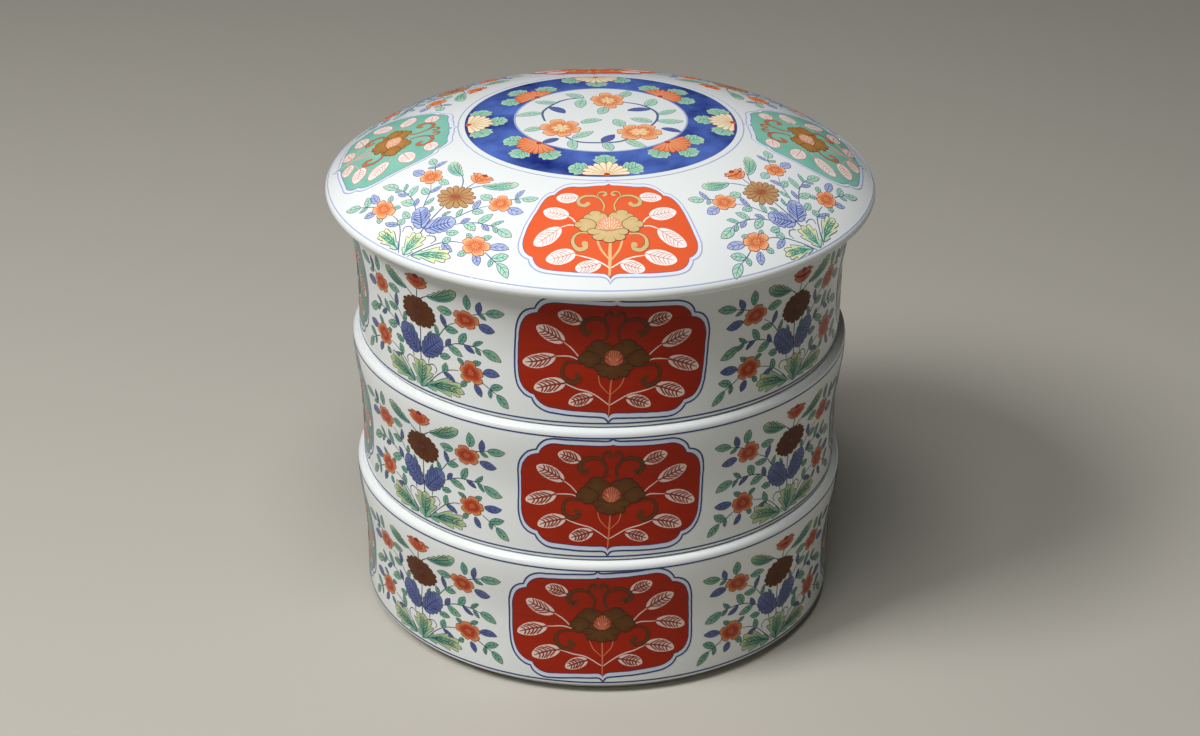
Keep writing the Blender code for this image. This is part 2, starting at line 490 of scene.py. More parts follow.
def joined(meshes):
    """One mesh of several."""
    whole = bmesh.new()
    for mesh in meshes:
        whole.from_mesh(mesh)
    result = meshes[0]
    whole.to_mesh(result)
    whole.free()
    for mesh in meshes[1:]:
        bpy.data.meshes.remove(mesh)
    return result


def settle(name, meshes, body):
    """Makes a finished piece of one or more meshes and lets it ride on its body."""
    mesh = meshes[0]
    if len(meshes) > 1:
        mesh = joined(meshes)
    shell = bmesh.new()
    shell.from_mesh(mesh)
    bmesh.ops.recalc_face_normals(shell, faces=shell.faces)
    shell.to_mesh(mesh)
    shell.free()
    mesh.name = name
    mesh.shade_smooth()
    mesh.set_sharp_from_angle(angle=math.radians(SHARP_ANGLE))
    piece = bpy.data.objects.new(name, mesh)
    bpy.context.scene.collection.objects.link(piece)
    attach(piece, body)
    return piece


def turned(name, section, height, finish, closed=False):
    """The mesh of a half section turned about the axis, standing at a height."""
    points = [section[0]]
    for point in section[1:]:
        if math.dist(point, points[-1]) > COAT_STEP / 2.0:
            points.append(point)
    edges = [(index, index + 1) for index in range(len(points) - 1)]
    if closed:
        edges.append((len(points) - 1, 0))
    mesh = bpy.data.meshes.new(name)
    mesh.from_pydata([(r * MM, 0.0, z * MM) for r, z in points], edges, [])
    return grown(name, mesh, TURNING, {
        "Segments": SEGMENTS,
        "Path Radius": RIM_RADIUS * MM,
        "Standing Height": height * MM,
        "Finish": finish,
    })


# Flat drawings

LOBE_FULLNESS = 2.6                            # power by which a lobe's edge falls to its notches
DENT_WIDTH = 0.4                               # of the notch in a lobe's tip, as a share of the lobe
LOBE_SIZES = (0.6, 1.3)                        # of unequal lobes, as shares of the even ones
LEAF_END = 0.02                                # width of a blade's very ends, as a share of its widest
BROAD_LEAF = 4.2                               # from this width a blade has five points across, not three
LEAF_ROW = 1.1                                 # between the rows of points across a blade, on average
MIDRIB_LENGTH = 0.92                           # as a share of the blade's
MIDRIB_WIDTH = 1.25                            # as a share of the side veins'
VEINS_START = 0.06                             # of the side veins along the midrib, as a share of it
VEINS_SPREAD = 0.72                            # of the midrib, over which they leave it
VEIN_RUN = 0.30                                # how far along the blade each runs, at most
FINE_LINE = 0.2                                # width of a flower's outline and of the lines on its petals
CREASE_WIDTH = 0.26                            # of the lines between its petals
BLOSSOM_STAMENS = 9

# Underside of a flower seen from the side, from left to right: shares of its radii, outwards and downwards
BOAT = ((-0.86, 0.42), (-0.56, 0.92), (-0.2, 1.24), (0.2, 1.24), (0.56, 0.92), (0.86, 0.42))


class Coat:
    """One pigment's share of a drawing: flat closed slabs of paint."""

    def __init__(self):
        self.points = []
        self.faces = []
        self.tones = []

    def slab(self, points, faces, tones, level):
        """Adds a slab whose upper face is the given flat mesh, with its underside and its sides."""
        count = len(points)
        first = len(self.points)
        self.points += [(u, v, level * COAT_STEP) for u, v in points]
        self.points += [(u, v, SUNK) for u, v in points]
        self.tones += list(tones) * 2
        sides = {}
        for face in faces:
            area = 0.0
            for a, b in zip(face, face[1:] + face[:1]):
                area += points[a][0] * points[b][1] - points[b][0] * points[a][1]
            if area < 0.0:
                face = face[::-1]
            self.faces.append(tuple(first + index for index in face))
            self.faces.append(tuple(first + count + index for index in reversed(face)))
            for a, b in zip(face, face[1:] + face[:1]):
                if (b, a) in sides:
                    del sides[(b, a)]
                else:
                    sides[(a, b)] = True
        for a, b in sides:
            self.faces.append((first + a, first + count + a, first + count + b, first + b))

    def mesh(self, name):
        mesh = bpy.data.meshes.new(name)
        mesh.from_pydata([(u * MM, v * MM, h * MM) for u, v, h in self.points], [], self.faces)
        tone = mesh.attributes.new("tone", "FLOAT", "POINT")
        tone.data.foreach_set("value", self.tones)
        return mesh


class Pen:
    """Draws with any pigment, through a rule that says where a point of the design goes."""

    def __init__(self, coats, place, chance, size=1.0, hand=1.0):
        self.coats = coats
        self.place = place
        self.chance = chance
        self.size = size
        self.hand = hand                       # -1 while the design is drawn in mirror image

    def coat(self, pigment):
        return self.coats.setdefault(pigment, Coat())

    def moved(self, place, size=1.0, hand=1.0):
        """The same pen with another rule in front of its own."""
        return Pen(self.coats, lambda u, v: self.place(*place(u, v)), self.chance, self.size * size,
                   self.hand * hand)

    def mirrored(self):
        return self.moved(lambda u, v: (-u, v), hand=-1.0)


def fresh_pen(chance):
    """A pen for a new drawing, which puts each point where the design has it."""
    return Pen({}, lambda u, v: (u, v), chance)


def smooth(points, steps=5):
    """Points of a smooth curve through the given ones."""
    count = len(points)
    if count == 2:
        return [tuple(a + (b - a) * step / steps for a, b in zip(*points)) for step in range(steps + 1)]
    found = []
    for span in range(count - 1):
        near = [points[min(max(span + offset, 0), count - 1)] for offset in (-1, 0, 1, 2)]
        for step in range(steps):
            t = step / steps
            weights = (
                -0.5 * t + t * t - 0.5 * t ** 3,
                1.0 - 2.5 * t * t + 1.5 * t ** 3,
                0.5 * t + 2.0 * t * t - 1.5 * t ** 3,
                -0.5 * t * t + 0.5 * t ** 3,
            )
            found.append(tuple(sum(w * p[axis] for w, p in zip(weights, near)) for axis in (0, 1)))
    found.append(points[-1])
    return found


def left_of(points, closed=False):
    """Unit directions to the left of a path, one for each point."""
    count = len(points)
    found = []
    for index in range(count):
        before = points[index - 1] if index or closed else points[0]
        after = points[(index + 1) % count] if index < count - 1 or closed else points[-1]
        along = Vector((after[0] - before[0], after[1] - before[1]))
        along.normalize()
        found.append((-along.y, along.x))
    return found


def band(coat, rows, tones, level, closed=False):
    """A slab between rows of points, each row running across it."""
    across = len(rows[0])
    points = [point for row in rows for point in row]
    faces = []
    spans = len(rows) if closed else len(rows) - 1
    for row in range(spans):
        here = row * across
        there = (row + 1) % len(rows) * across
        for step in range(across - 1):
            faces.append((here + step, here + step + 1, there + step + 1, there + step))
    coat.slab(points, faces, tones, level)


def ribbon(coat, path, width, level, ends=(1.0, 1.0), closed=False):
    """A line of paint along a path; ends are its widths there as shares of the full width."""
    taper = 3.0                                # it has its full width in the middle third
    rows = []
    count = len(path)
    for index, (point, left) in enumerate(zip(path, left_of(path, closed))):
        share = index / (count - 1)
        full = 1.0
        if not closed:
            from_start = ends[0] + (1.0 - ends[0]) * taper * share
            from_end = ends[1] + (1.0 - ends[1]) * taper * (1.0 - share)
            full = min(1.0, from_start, from_end)
        half = width * full / 2.0
        rows.append([
            (point[0] + left[0] * half, point[1] + left[1] * half),
            (point[0] - left[0] * half, point[1] - left[1] * half),
        ])
    band(coat, rows, [EVEN_TONE] * (2 * count), level, closed)


def disc(coat, centre, contour, rings, tone, level):
    """A slab inside a contour that is seen whole from its centre.

    The tone is a function of the share of the way outwards.
    """
    count = len(contour)
    points = [centre]
    tones = [tone(0.0)]
    for ring in range(1, rings + 1):
        share = ring / rings
        for point in contour:
            points.append(tuple(c + (p - c) * share for c, p in zip(centre, point)))
            tones.append(tone(share))
    faces = []
    for step in range(count):
        after = (step + 1) % count
        faces.append((0, 1 + step, 1 + after))
        for ring in range(rings - 1):
            here = 1 + ring * count
            faces.append((here + step, here + count + step, here + count + after, here + after))
    coat.slab(points, faces, tones, level)


def dot(coat, centre, radii, corners, depth, level):
    """A small slab of even paint with a lobed or round edge."""
    contour = lobed(centre, radii, corners, depth, samples=2 if depth else 1)
    disc(coat, centre, contour, 1, lambda share: EVEN_TONE, level)


def line(pen, pigment, points, width, level=BLADE, ends=(0.8, 0.5)):
    """A drawn line through points of the design."""
    path = smooth([pen.place(*point) for point in points])
    ribbon(pen.coat(pigment), path, width, level, ends)


def lobed(centre, radii, lobes, depth, turn=0.0, sweep=360.0, samples=6, dent=0.0, chance=None, back=0.8):
    """Contour of an ellipse whose edge swells into lobes over a sweep about a direction, both in degrees.

    A dent notches each lobe's tip and chance makes the lobes unequal. The rest of the round lies at the
    back's share of the radii.
    """
    found = []
    total = lobes * samples
    sizes = [chance.uniform(*LOBE_SIZES) if chance else 1.0 for _ in range(lobes)]
    for index in range(total + (0 if sweep >= 360.0 else samples)):
        if index <= total:
            angle = turn + sweep * (index / total - 0.5)
            across = abs(2.0 * (index / samples % 1.0) - 1.0)
            size = sizes[min(index // samples, lobes - 1)]
            swell = 1.0 - depth + depth * size * (1.0 - across ** LOBE_FULLNESS)
            swell -= dent * max(0.0, 1.0 - across / DENT_WIDTH)
        else:
            angle = turn + sweep / 2.0 + (360.0 - sweep) * (index - total) / samples
            swell = back
        bearing = math.radians(angle)
        found.append((
            centre[0] + radii[0] * swell * math.cos(bearing),
            centre[1] + radii[1] * swell * math.sin(bearing),
        ))
    return found


def leaf(pen, pigment, base, tip, width, bend=0.05, widest=0.47, full=0.62, point=0.25,
         tones=(0.0, 0.15, 0.1), teeth=0, tooth_depth=0.2, rounded=False, plain_side=0.0, forward=0.0,
         veins=2, vein_width=0.16, vein_reach=0.84, vein_ink=None, outline="ink", outline_width=0.17,
         level=BLADE):
    """A painted leaf from its base to its tip, with its outline, midrib and curved side veins.

    The tones are those at the base and at the tip, and what the edges have on top. The blade's edges are
    drawn forward by a share of its length. The plain side, 1 for the left and -1 for the right, has no teeth.
    """
    start = Vector(pen.place(*base))
    end = Vector(pen.place(*tip))
    along = end - start
    aside = Vector((-along.y, along.x)) * bend * pen.hand
    half = width * pen.size / 2.0
    swing = math.log(0.5) / math.log(widest)
    plain = plain_side * pen.hand

    def spot(share, side):
        blade = LEAF_END
        if 0.0 < share < 1.0:
            blade += (1.0 - LEAF_END) * math.sin(math.pi * share ** swing) ** (full + point * share ** 3)
        if teeth and side * plain <= 0.0:
            bite = (1.0 - (teeth * share + 0.45) % 1.0) ** 1.4
            if rounded:
                bite = 1.0 - abs(math.sin(math.pi * (teeth * share + 0.25))) ** 0.6
            blade *= 1.0 - tooth_depth * bite
        heading = along + aside * (4.0 - 8.0 * share)
        heading.normalize()
        reach = half * blade * side
        ahead = share + forward * blade * abs(side)
        middle = start + along * ahead + aside * (4.0 * share * (1.0 - share))
        return middle.x - heading.y * reach, middle.y + heading.x * reach

    steps = max(9, round(along.length / LEAF_ROW), 8 * teeth)
    sides = (-1.0, 0.0, 1.0) if 2.0 * half < BROAD_LEAF else (-1.0, -0.5, 0.0, 0.5, 1.0)
    shares = [0.5 - 0.5 * math.cos(math.pi * step / steps) for step in range(steps + 1)]
    rows = [[spot(share, side) for side in sides] for share in shares]
    shades = []
    for share in shares:
        shade = tones[0] + (tones[1] - tones[0]) * share ** 1.4
        shades += [shade + tones[2] * abs(side) ** 1.5 * (side * plain <= 0.0) for side in sides]
    band(pen.coat(pigment), rows, shades, level)
    if outline:
        edge = [row[-1] for row in rows] + [row[0] for row in reversed(rows[1:-1])]
        ribbon(pen.coat(outline), edge, outline_width, level + OVER_BLADE, closed=True)
    coat = pen.coat(vein_ink or LEAF_LINES[pigment])
    midrib = [spot(MIDRIB_LENGTH * step / 6, 0.0) for step in range(7)]
    ribbon(coat, midrib, vein_width * MIDRIB_WIDTH, level + OVER_BLADE, ends=(1.0, 0.4))
    for vein in range(veins):
        share = VEINS_START + VEINS_SPREAD * (vein + 0.5) / veins
        ahead = VEIN_RUN * min(1.0, 1.4 * (1.0 - share))
        for side in (-1.0, 1.0):
            outwards = vein_reach * side
            path = [
                spot(share, 0.0),
                spot(share + 0.42 * ahead, 0.55 * outwards),
                spot(share + ahead, outwards),
            ]
            if veins > 3:
                path = smooth(path, 3)
            ribbon(coat, path, vein_width, level + OVER_BLADE, ends=(0.8, 0.6))


def inwards(middle, point, share):
    """The point at a share of the way from a flower's middle to a point of its contour."""
    return tuple(m + (p - m) * share for m, p in zip(middle, point))


def crease(coat, middle, notch, near, width, level=PETAL + OVER_PETAL, start=0.5):
    """A line between two petals, from near the flower's middle out to the notch in its contour."""
    ribbon(coat, [inwards(middle, notch, near), notch], width, level, ends=(start, 1.0))


def fold(coat, middle, crest, near, far, level=PETAL + OVER_PETAL, end=0.3):
    """A fine line along a petal's middle, between two shares of the way to its tip."""
    ends = [inwards(middle, crest, share) for share in (near, far)]
    ribbon(coat, ends, FINE_LINE, level, ends=(1.0, end))


def blossom(pen, centre, radii, petals=5, turn=90.0, heart=0.2, heart_tone=0.7):
    """A round flower: red petals with pale rims, notched at their tips, round a small heart."""
    middle = pen.place(*centre)
    radii = tuple(radius * pen.size for radius in radii)
    samples = 8
    contour = lobed(middle, radii, petals, depth=0.34, turn=turn, samples=samples, dent=0.07,
                    chance=pen.chance)

    def tone(share):
        opened = min(1.0, max(0.0, (share - heart * 0.75) / 0.12))
        return heart_tone + (1.0 - heart_tone) * opened - 0.55 * opened * max(0.0, share - 0.6) / 0.4

    disc(pen.coat("orange"), middle, contour, 6, tone, PETAL)
    lines = pen.coat("red_line")
    over = PETAL + OVER_PETAL
    ribbon(lines, contour, FINE_LINE, over, closed=True)
    for petal in range(petals):
        crease(lines, middle, contour[petal * samples], 0.3, CREASE_WIDTH)
        for crest, far in ((2, 0.74), (4, 0.68), (6, 0.74)):
            fold(lines, middle, contour[petal * samples + crest], heart + 0.1, far)
    for stamen in range(BLOSSOM_STAMENS):
        bearing = math.tau * stamen / BLOSSOM_STAMENS
        far = (middle[0] + radii[0] * math.cos(bearing), middle[1] + radii[1] * math.sin(bearing))
        ends = [inwards(middle, far, heart * share) for share in (0.7, 1.15)]
        ribbon(lines, ends, 0.18, over, ends=(0.4, 1.0))
    knob = lobed(middle, (radii[0] * heart * 0.4, radii[1] * heart * 0.4), 5, depth=0.1, samples=2)
    ribbon(lines, knob, 0.16, over, closed=True)


def chrysanthemum(pen, centre, radii, petals, depth):
    """The spray's great bloom: many long petals round a small heart."""
    middle = pen.place(*centre)
    radii = tuple(radius * pen.size for radius in radii)
    samples = 6
    contour = lobed(middle, radii, petals, depth, turn=90.0, samples=samples, chance=pen.chance)
    disc(pen.coat("bronze"), middle, contour, 4, lambda share: 0.2 + 0.7 * share, PETAL)
    lines = pen.coat("bloom_line")
    ribbon(lines, contour, FINE_LINE, PETAL + OVER_PETAL, closed=True)
    for petal in range(petals):
        crease(lines, middle, contour[petal * samples], 0.2, CREASE_WIDTH, start=0.6)
        crest = contour[petal * samples + samples // 2]
        fold(pen.coat("bloom_heart"), middle, crest, 0.14, 0.44, PETAL + OVER_PETAL + 0.4, end=0.2)
    heart_radii = (radii[0] * 0.13, radii[1] * 0.13)
    dot(pen.coat("bloom_heart"), middle, heart_radii, 6, 0.1, PETAL + OVER_BLOOM)


def side_flower(pen, centre, radii):
    """A half-open flower seen from the side: a boat of petals under a dark crest."""
    middle = pen.place(*centre)
    wide, high = (radius * pen.size for radius in radii)
    samples = 9
    rim = (middle[0], middle[1] + 0.3 * high)
    contour = lobed(rim, (wide, 0.7 * high), 5, depth=0.32, turn=90.0, sweep=180.0, samples=samples,
                    chance=pen.chance)
    contour = contour[:5 * samples + 1]
    for across, down in BOAT:
        contour.append((rim[0] + across * wide, rim[1] - down * high))
    foot = (middle[0], middle[1] - 0.8 * high)
    disc(pen.coat("orange"), middle, contour, 4, lambda share: 1.0 - 0.4 * share ** 2, PETAL)
    lines = pen.coat("red_line")
    over = PETAL + OVER_PETAL
    ribbon(lines, contour, 0.22, over, closed=True)
    for petal in range(1, 5):
        notch = contour[petal * samples]
        aside = 0.12 * (notch[0] - foot[0])
        bulge = (0.4 * foot[0] + 0.6 * notch[0] + aside, 0.6 * foot[1] + 0.4 * notch[1])
        ribbon(lines, smooth([foot, bulge, notch], 3), 0.24, over, ends=(0.5, 1.0))
    for petal in range(5):
        fold(lines, foot, contour[petal * samples + samples // 2], 0.3, 0.72)
    crown = (middle[0], middle[1] + 0.74 * high)
    crest = lobed(crown, (0.24 * wide, 0.4 * high), 3, depth=0.25, turn=90.0, sweep=200.0, back=0.6)
    disc(lines, crown, crest, 1, lambda share: 0.7, PETAL + OVER_BLOOM)


# The spray between two panels

# Its stems and its right half, in millimetres from the great stem and above the foot
GREAT_STEM = ((0.0, 27.4), (-0.1, 20.0), (0.1, 14.0), (0.2, 6.0))
BUD_STEM = ((0.2, 36.6), (0.4, 38.4))
STEM_WIDTH = 0.4
BUD_STEM_WIDTH = 0.34
BRANCH_WIDTH = 0.28
SPRAY_BRANCHES = (
    ((0.3, 17.2), (4.6, 21.4), (7.8, 25.3), (11.4, 29.7), (15.3, 32.3)),
    ((21.4, 36.9), (24.2, 38.0), (26.9, 38.8)),
    ((8.6, 21.4), (11.4, 23.3), (15.8, 25.2), (21.4, 25.6), (24.9, 24.8)),
    ((1.7, 5.6), (4.4, 8.8), (8.6, 12.7), (12.4, 14.8), (15.6, 15.6)),
    ((24.0, 13.9), (26.7, 12.2), (29.2, 10.8)),
    ((3.0, 13.8), (5.4, 14.6), (6.9, 13.3), (6.2, 11.7)),
    ((4.4, 17.3), (3.7, 15.8), (3.5, 14.4)),
)

# Small leaves of the right half: pigment, base, tip and width
SPRAY_LEAVES = (
    ("blue", (24.0, 38.0), (25.2, 42.4), 2.1),
    ("green", (24.0, 37.8), (26.9, 36.5), 1.5),
    ("green", (26.7, 38.7), (33.0, 39.9), 3.0),
    ("blue", (23.7, 33.6), (29.6, 32.4), 3.3),
    ("green", (14.2, 35.7), (8.7, 35.6), 2.9),
    ("blue", (11.1, 29.6), (10.3, 33.9), 2.0),
    ("green", (11.1, 28.8), (15.8, 29.5), 2.4),
    ("green", (7.8, 25.3), (6.9, 28.9), 1.7),
    ("blue", (10.8, 22.9), (12.7, 26.2), 1.9),
    ("green", (16.4, 25.4), (19.1, 29.5), 2.6),
    ("blue", (18.2, 25.4), (21.9, 23.2), 1.7),
    ("green", (21.3, 25.6), (24.6, 28.0), 1.5),
    ("green", (22.4, 25.4), (24.4, 23.1), 1.4),
    ("green", (24.8, 24.8), (30.8, 22.1), 3.0),
    ("green", (11.8, 23.3), (17.2, 21.3), 2.6),
    ("green", (8.4, 18.3), (12.4, 19.1), 2.2),
    ("blue", (24.6, 17.2), (30.7, 17.6), 2.7),
    ("green", (20.9, 19.4), (23.8, 20.9), 1.7),
    ("green", (17.8, 18.7), (15.2, 19.8), 1.6),
    ("blue", (21.2, 12.4), (23.2, 8.8), 2.3),
    ("green", (18.4, 12.5), (16.2, 10.7), 1.8),
    ("green", (26.8, 12.3), (31.3, 14.2), 2.4),
    ("green", (26.7, 12.1), (27.1, 9.4), 1.5),
    ("green", (29.1, 10.8), (33.2, 6.7), 2.6),
    ("green", (9.5, 13.2), (10.7, 17.0), 2.4),
    ("blue", (9.8, 13.1), (14.4, 11.5), 1.9),
    ("green", (2.7, 23.6), (4.5, 26.3), 1.2),
)

# Its round flowers, the upper and the lower one: place and radii
UPPER_FLOWER = ((19.2, 34.7), (4.8, 3.7))
LOWER_FLOWER = ((20.2, 16.2), (4.9, 3.8))
FLOWER_TURN = 16.0                             # in degrees, at most

# Tones of the small leaves, and how freely each is drawn
YELLOW_TIPPED = 5.5                            # a green leaf longer than this has a yellow tip
LONG_LEAF_TONES = (0.0, 0.24, 0.08)
SHORT_LEAF_TONES = (0.0, 0.06, 0.08)
BLUE_LEAF_TONES = (0.55, 0.5, 0.15)
TIP_DRIFT = 0.4
LEAF_WIDTHS = (0.92, 1.08)                     # as shares of the width given
LEAF_BEND = 0.1

# Heights of the spray on a wall and, beside them, up the dome from its origin
LID_SPRAY_HEIGHTS = (
    (4.0, 0.8), (5.4, 1.7), (8.8, 4.6), (14.4, 9.4), (17.0, 10.4), (21.0, 14.2), (25.5, 17.6),
    (31.7, 24.1), (34.8, 26.8), (42.7, 35.0), (46.0, 38.0),
)
LID_SPRAY_NARROWING = 0.83
LID_SPRAY_SIZE = 0.93
SPRAY_MIDDLE = 25.0                            # height that a tilted spray is turned about


def lid_spray_place(u, v):
    """Where a point of the wall's spray lies on the dome."""
    pairs = list(zip(LID_SPRAY_HEIGHTS, LID_SPRAY_HEIGHTS[1:]))
    low, high = next((pair for pair in pairs if v <= pair[1][0]), pairs[-1])
    share = (v - low[0]) / (high[0] - low[0])
    return u * LID_SPRAY_NARROWING, low[1] + (high[1] - low[1]) * share


# What differs between the sprays on a wall and on the dome:
# sprays: bearing from the front panel, climb to the right and lean to the left, in degrees, and the width
#   of the left half as a share of the right one's
# crests: path of the stem beside the bud, tip and width of its leaf
# base_leaves: base, tip, width and bend
# bud and bloom: place and radii, then the bloom's petals and the depth of their notches
# low_size: of the lower flowers, as a share of the size given above
WALL_SPRAY = {
    "sprays": ((47.0, 0.0, 0.0, 1.0), (133.0, 0.0, 0.0, 1.0)),
    "crests": (
        (((1.2, 36.0), (2.6, 37.4), (4.6, 38.7)), (16.6, 43.5), 4.1),
        (((-1.0, 36.0), (-2.4, 37.4), (-4.3, 38.7)), (-14.6, 42.9), 4.1),
    ),
    "crest_leaf": ("green", (20.3, 38.6), (20.4, 43.6), 2.8),
    "blue_leaf": ((1.2, 16.8), (9.0, 24.7), 7.8),
    "base_leaves": (
        ((2.2, 6.3), (17.6, 8.0), 6.6, 0.08),
        ((-3.0, 6.2), (-16.6, 9.4), 7.8, -0.06),
        ((0.2, 5.2), (0.8, 14.8), 10.4, 0.0),
    ),
    "base_tones": (-0.15, 0.45, 0.55),
    "bud": ((0.7, 42.5), (5.1, 2.4)),
    "bloom": ((0.2, 31.6), (7.4, 5.4), 16, 0.13),
    "low_size": 1.0,
}
LID_SPRAY = {
    "sprays": ((46.9, 4.2, 2.2, 0.94), (134.8, 0.0, 0.0, 1.0)),
    "crests": (
        (((1.6, 36.4), (3.0, 38.2), (5.2, 39.8)), (20.0, 44.8), 4.5),
        (((-2.0, 36.4), (-4.4, 38.6), (-8.0, 40.6)), (-21.6, 43.6), 4.5),
    ),
    "crest_leaf": None,
    "blue_leaf": ((0.9, 17.1), (8.5, 23.2), 6.5),
    "base_leaves": (
        ((2.8, 6.3), (14.6, 9.2), 5.2, 0.06),
        ((-2.8, 6.4), (-13.4, 8.0), 4.9, -0.06),
        ((0.2, 5.6), (0.5, 14.0), 7.0, 0.0),
    ),
    "base_tones": (-0.1, 0.75, 0.8),
    "bud": ((0.9, 42.2), (5.9, 2.5)),
    "bloom": ((0.2, 31.8), (7.4, 5.5), 14, 0.24),
    "low_size": 0.88,
}


def base_leaf(pen, base, tip, width, bend, tones, level):
    """A lobed leaf at the foot of a spray, green along its midrib and yellow at its tips."""
    leaf(pen, "green", base, tip, width, bend=bend, widest=0.56, full=0.46, point=0.6, tones=tones,
         teeth=3, tooth_depth=0.52, forward=0.16, veins=6, vein_width=0.26, vein_reach=0.56,
         outline_width=0.2, level=level)


def small_leaf(pen, pigment, base, tip, width):
    """A small leaf of a spray, each a little different."""
    chance = pen.chance
    tones = BLUE_LEAF_TONES
    if pigment == "green":
        tones = LONG_LEAF_TONES if math.dist(base, tip) > YELLOW_TIPPED else SHORT_LEAF_TONES
    tip = tuple(part + chance.uniform(-TIP_DRIFT, TIP_DRIFT) for part in tip)
    width *= chance.uniform(*LEAF_WIDTHS)
    leaf(pen, pigment, base, tip, width, bend=chance.uniform(-LEAF_BEND, LEAF_BEND), tones=tones)


def spray(pen, layout):
    """One bunch: the great bloom on its stem, the bud over it, branches with flowers, and leaves below."""
    line(pen, "ink", GREAT_STEM, STEM_WIDTH, STEM, ends=(0.8, 0.9))
    leaves = SPRAY_LEAVES
    if layout["crest_leaf"]:
        leaves += (layout["crest_leaf"],)
    for side in (pen, pen.mirrored()):
        for branch in SPRAY_BRANCHES:
            line(side, "ink", branch, BRANCH_WIDTH, STEM)
        for pigment, base, tip, width in leaves:
            small_leaf(side, pigment, base, tip, width)
        base, tip, width = layout["blue_leaf"]
        leaf(side, "blue", base, tip, width, bend=0.03, widest=0.54, full=0.42, point=0.1,
             tones=(0.7, 0.5, 0.1), teeth=5, tooth_depth=0.2, rounded=True, veins=6, vein_width=0.32,
             vein_reach=0.86, outline_width=0.2, level=HIGH_BLADE)
        for (centre, radii), size in ((UPPER_FLOWER, 1.0), (LOWER_FLOWER, layout["low_size"])):
            turn = 90.0 + pen.chance.uniform(-FLOWER_TURN, FLOWER_TURN)
            blossom(side, centre, (radii[0] * size, radii[1] * size), turn=turn)
    for stem, tip, width in layout["crests"]:
        outer = math.copysign(1.0, tip[0])
        line(pen, "ink", stem, BUD_STEM_WIDTH, STEM)
        leaf(pen, "green", stem[-1], tip, width, bend=-0.05 * outer, widest=0.58, full=0.5, point=0.1,
             tones=(-0.05, 0.2, 0.55), teeth=5, tooth_depth=0.42, rounded=True, plain_side=-outer,
             forward=0.04, veins=7, vein_width=0.24)
    for order, (base, tip, width, bend) in enumerate(layout["base_leaves"]):
        base_leaf(pen, base, tip, width, bend, layout["base_tones"], HIGH_BLADE + 0.5 * order)
    bud, radii = layout["bud"]
    line(pen, "ink", (*BUD_STEM, (bud[0], bud[1] - radii[1] * 0.8)), BUD_STEM_WIDTH, STEM)
    side_flower(pen, bud, radii)
    chrysanthemum(pen, *layout["bloom"])


# The lobed panels of the walls and of the dome

# In millimetres from the panel's middle and above the foot or the dome's origin:
# tips, brows, shoulders, notches and side: corner points of its right half, the upper ones first
# borders: width at the top, the side and the bottom
# lines: widths of the outer and the inner line
# leaves: base, tip and width
# peony: place, scale and radii of its heart
# stamen_rows: pigment, near and far end, number, spread in degrees and width
# green_width: of a green panel, as a share of a red one's
WALL_PANEL = {
    "tips": (48.1, 4.4),
    "brows": (47.1, 6.4),
    "shoulders": ((18.2, 47.1), (18.6, 6.5)),
    "notches": ((24.1, 42.4), (24.1, 10.4)),
    "side": 30.0,
    "borders": (1.75, 1.05, 1.8),
    "lines": (0.55, 0.24),
    "leaves": (
        ((9.9, 39.3), (17.0, 41.9), 4.8),
        ((14.8, 31.6), (23.8, 36.1), 5.3),
        ((17.5, 26.2), (27.6, 22.4), 4.9),
        ((14.0, 17.4), (23.4, 13.9), 5.1),
        ((5.2, 13.4), (12.7, 10.6), 4.4),
    ),
    "leaf_stems": (
        ((9.6, 26.2), (12.2, 29.4), (15.0, 31.7)),
        ((9.6, 25.6), (12.8, 26.6), (17.6, 26.1)),
        ((0.2, 11.0), (5.6, 14.6), (10.2, 15.9), (14.2, 17.3)),
    ),
    "flower_stems": (((3.9, 20.8), (3.0, 17.6), (0.2, 14.6)), ((0.2, 20.0), (0.0, 14.0), (-0.1, 6.6))),
    "scrolls": (
        ((2.3, 33.0), (1.5, 36.9), (3.4, 40.2), (6.2, 41.0), (9.0, 39.7), (9.8, 37.3), (8.5, 35.3),
         (7.6, 36.2)),
        ((9.2, 24.6), (12.9, 24.7), (15.0, 22.2), (14.3, 19.0), (11.6, 17.8), (9.7, 19.2), (10.5, 20.5)),
    ),
    "curls": (((2.8, 40.6), (2.9, 42.2), (1.7, 43.1), (0.9, 42.5), (1.0, 41.6)),),
    "scroll_widths": (1.5, 1.0),
    "vein_width": 0.5,
    "stem_widths": (0.5, 0.34),
    "peony": ((0.4, 26.9), (1.0, 1.0), (2.9, 2.9)),
    "stamen_rows": (("stamen", 0.12, 1.02, 9, 66.0, 0.5), ("white", 0.46, 0.7, 3, 40.0, 0.26)),
    "green_width": 0.88,
}

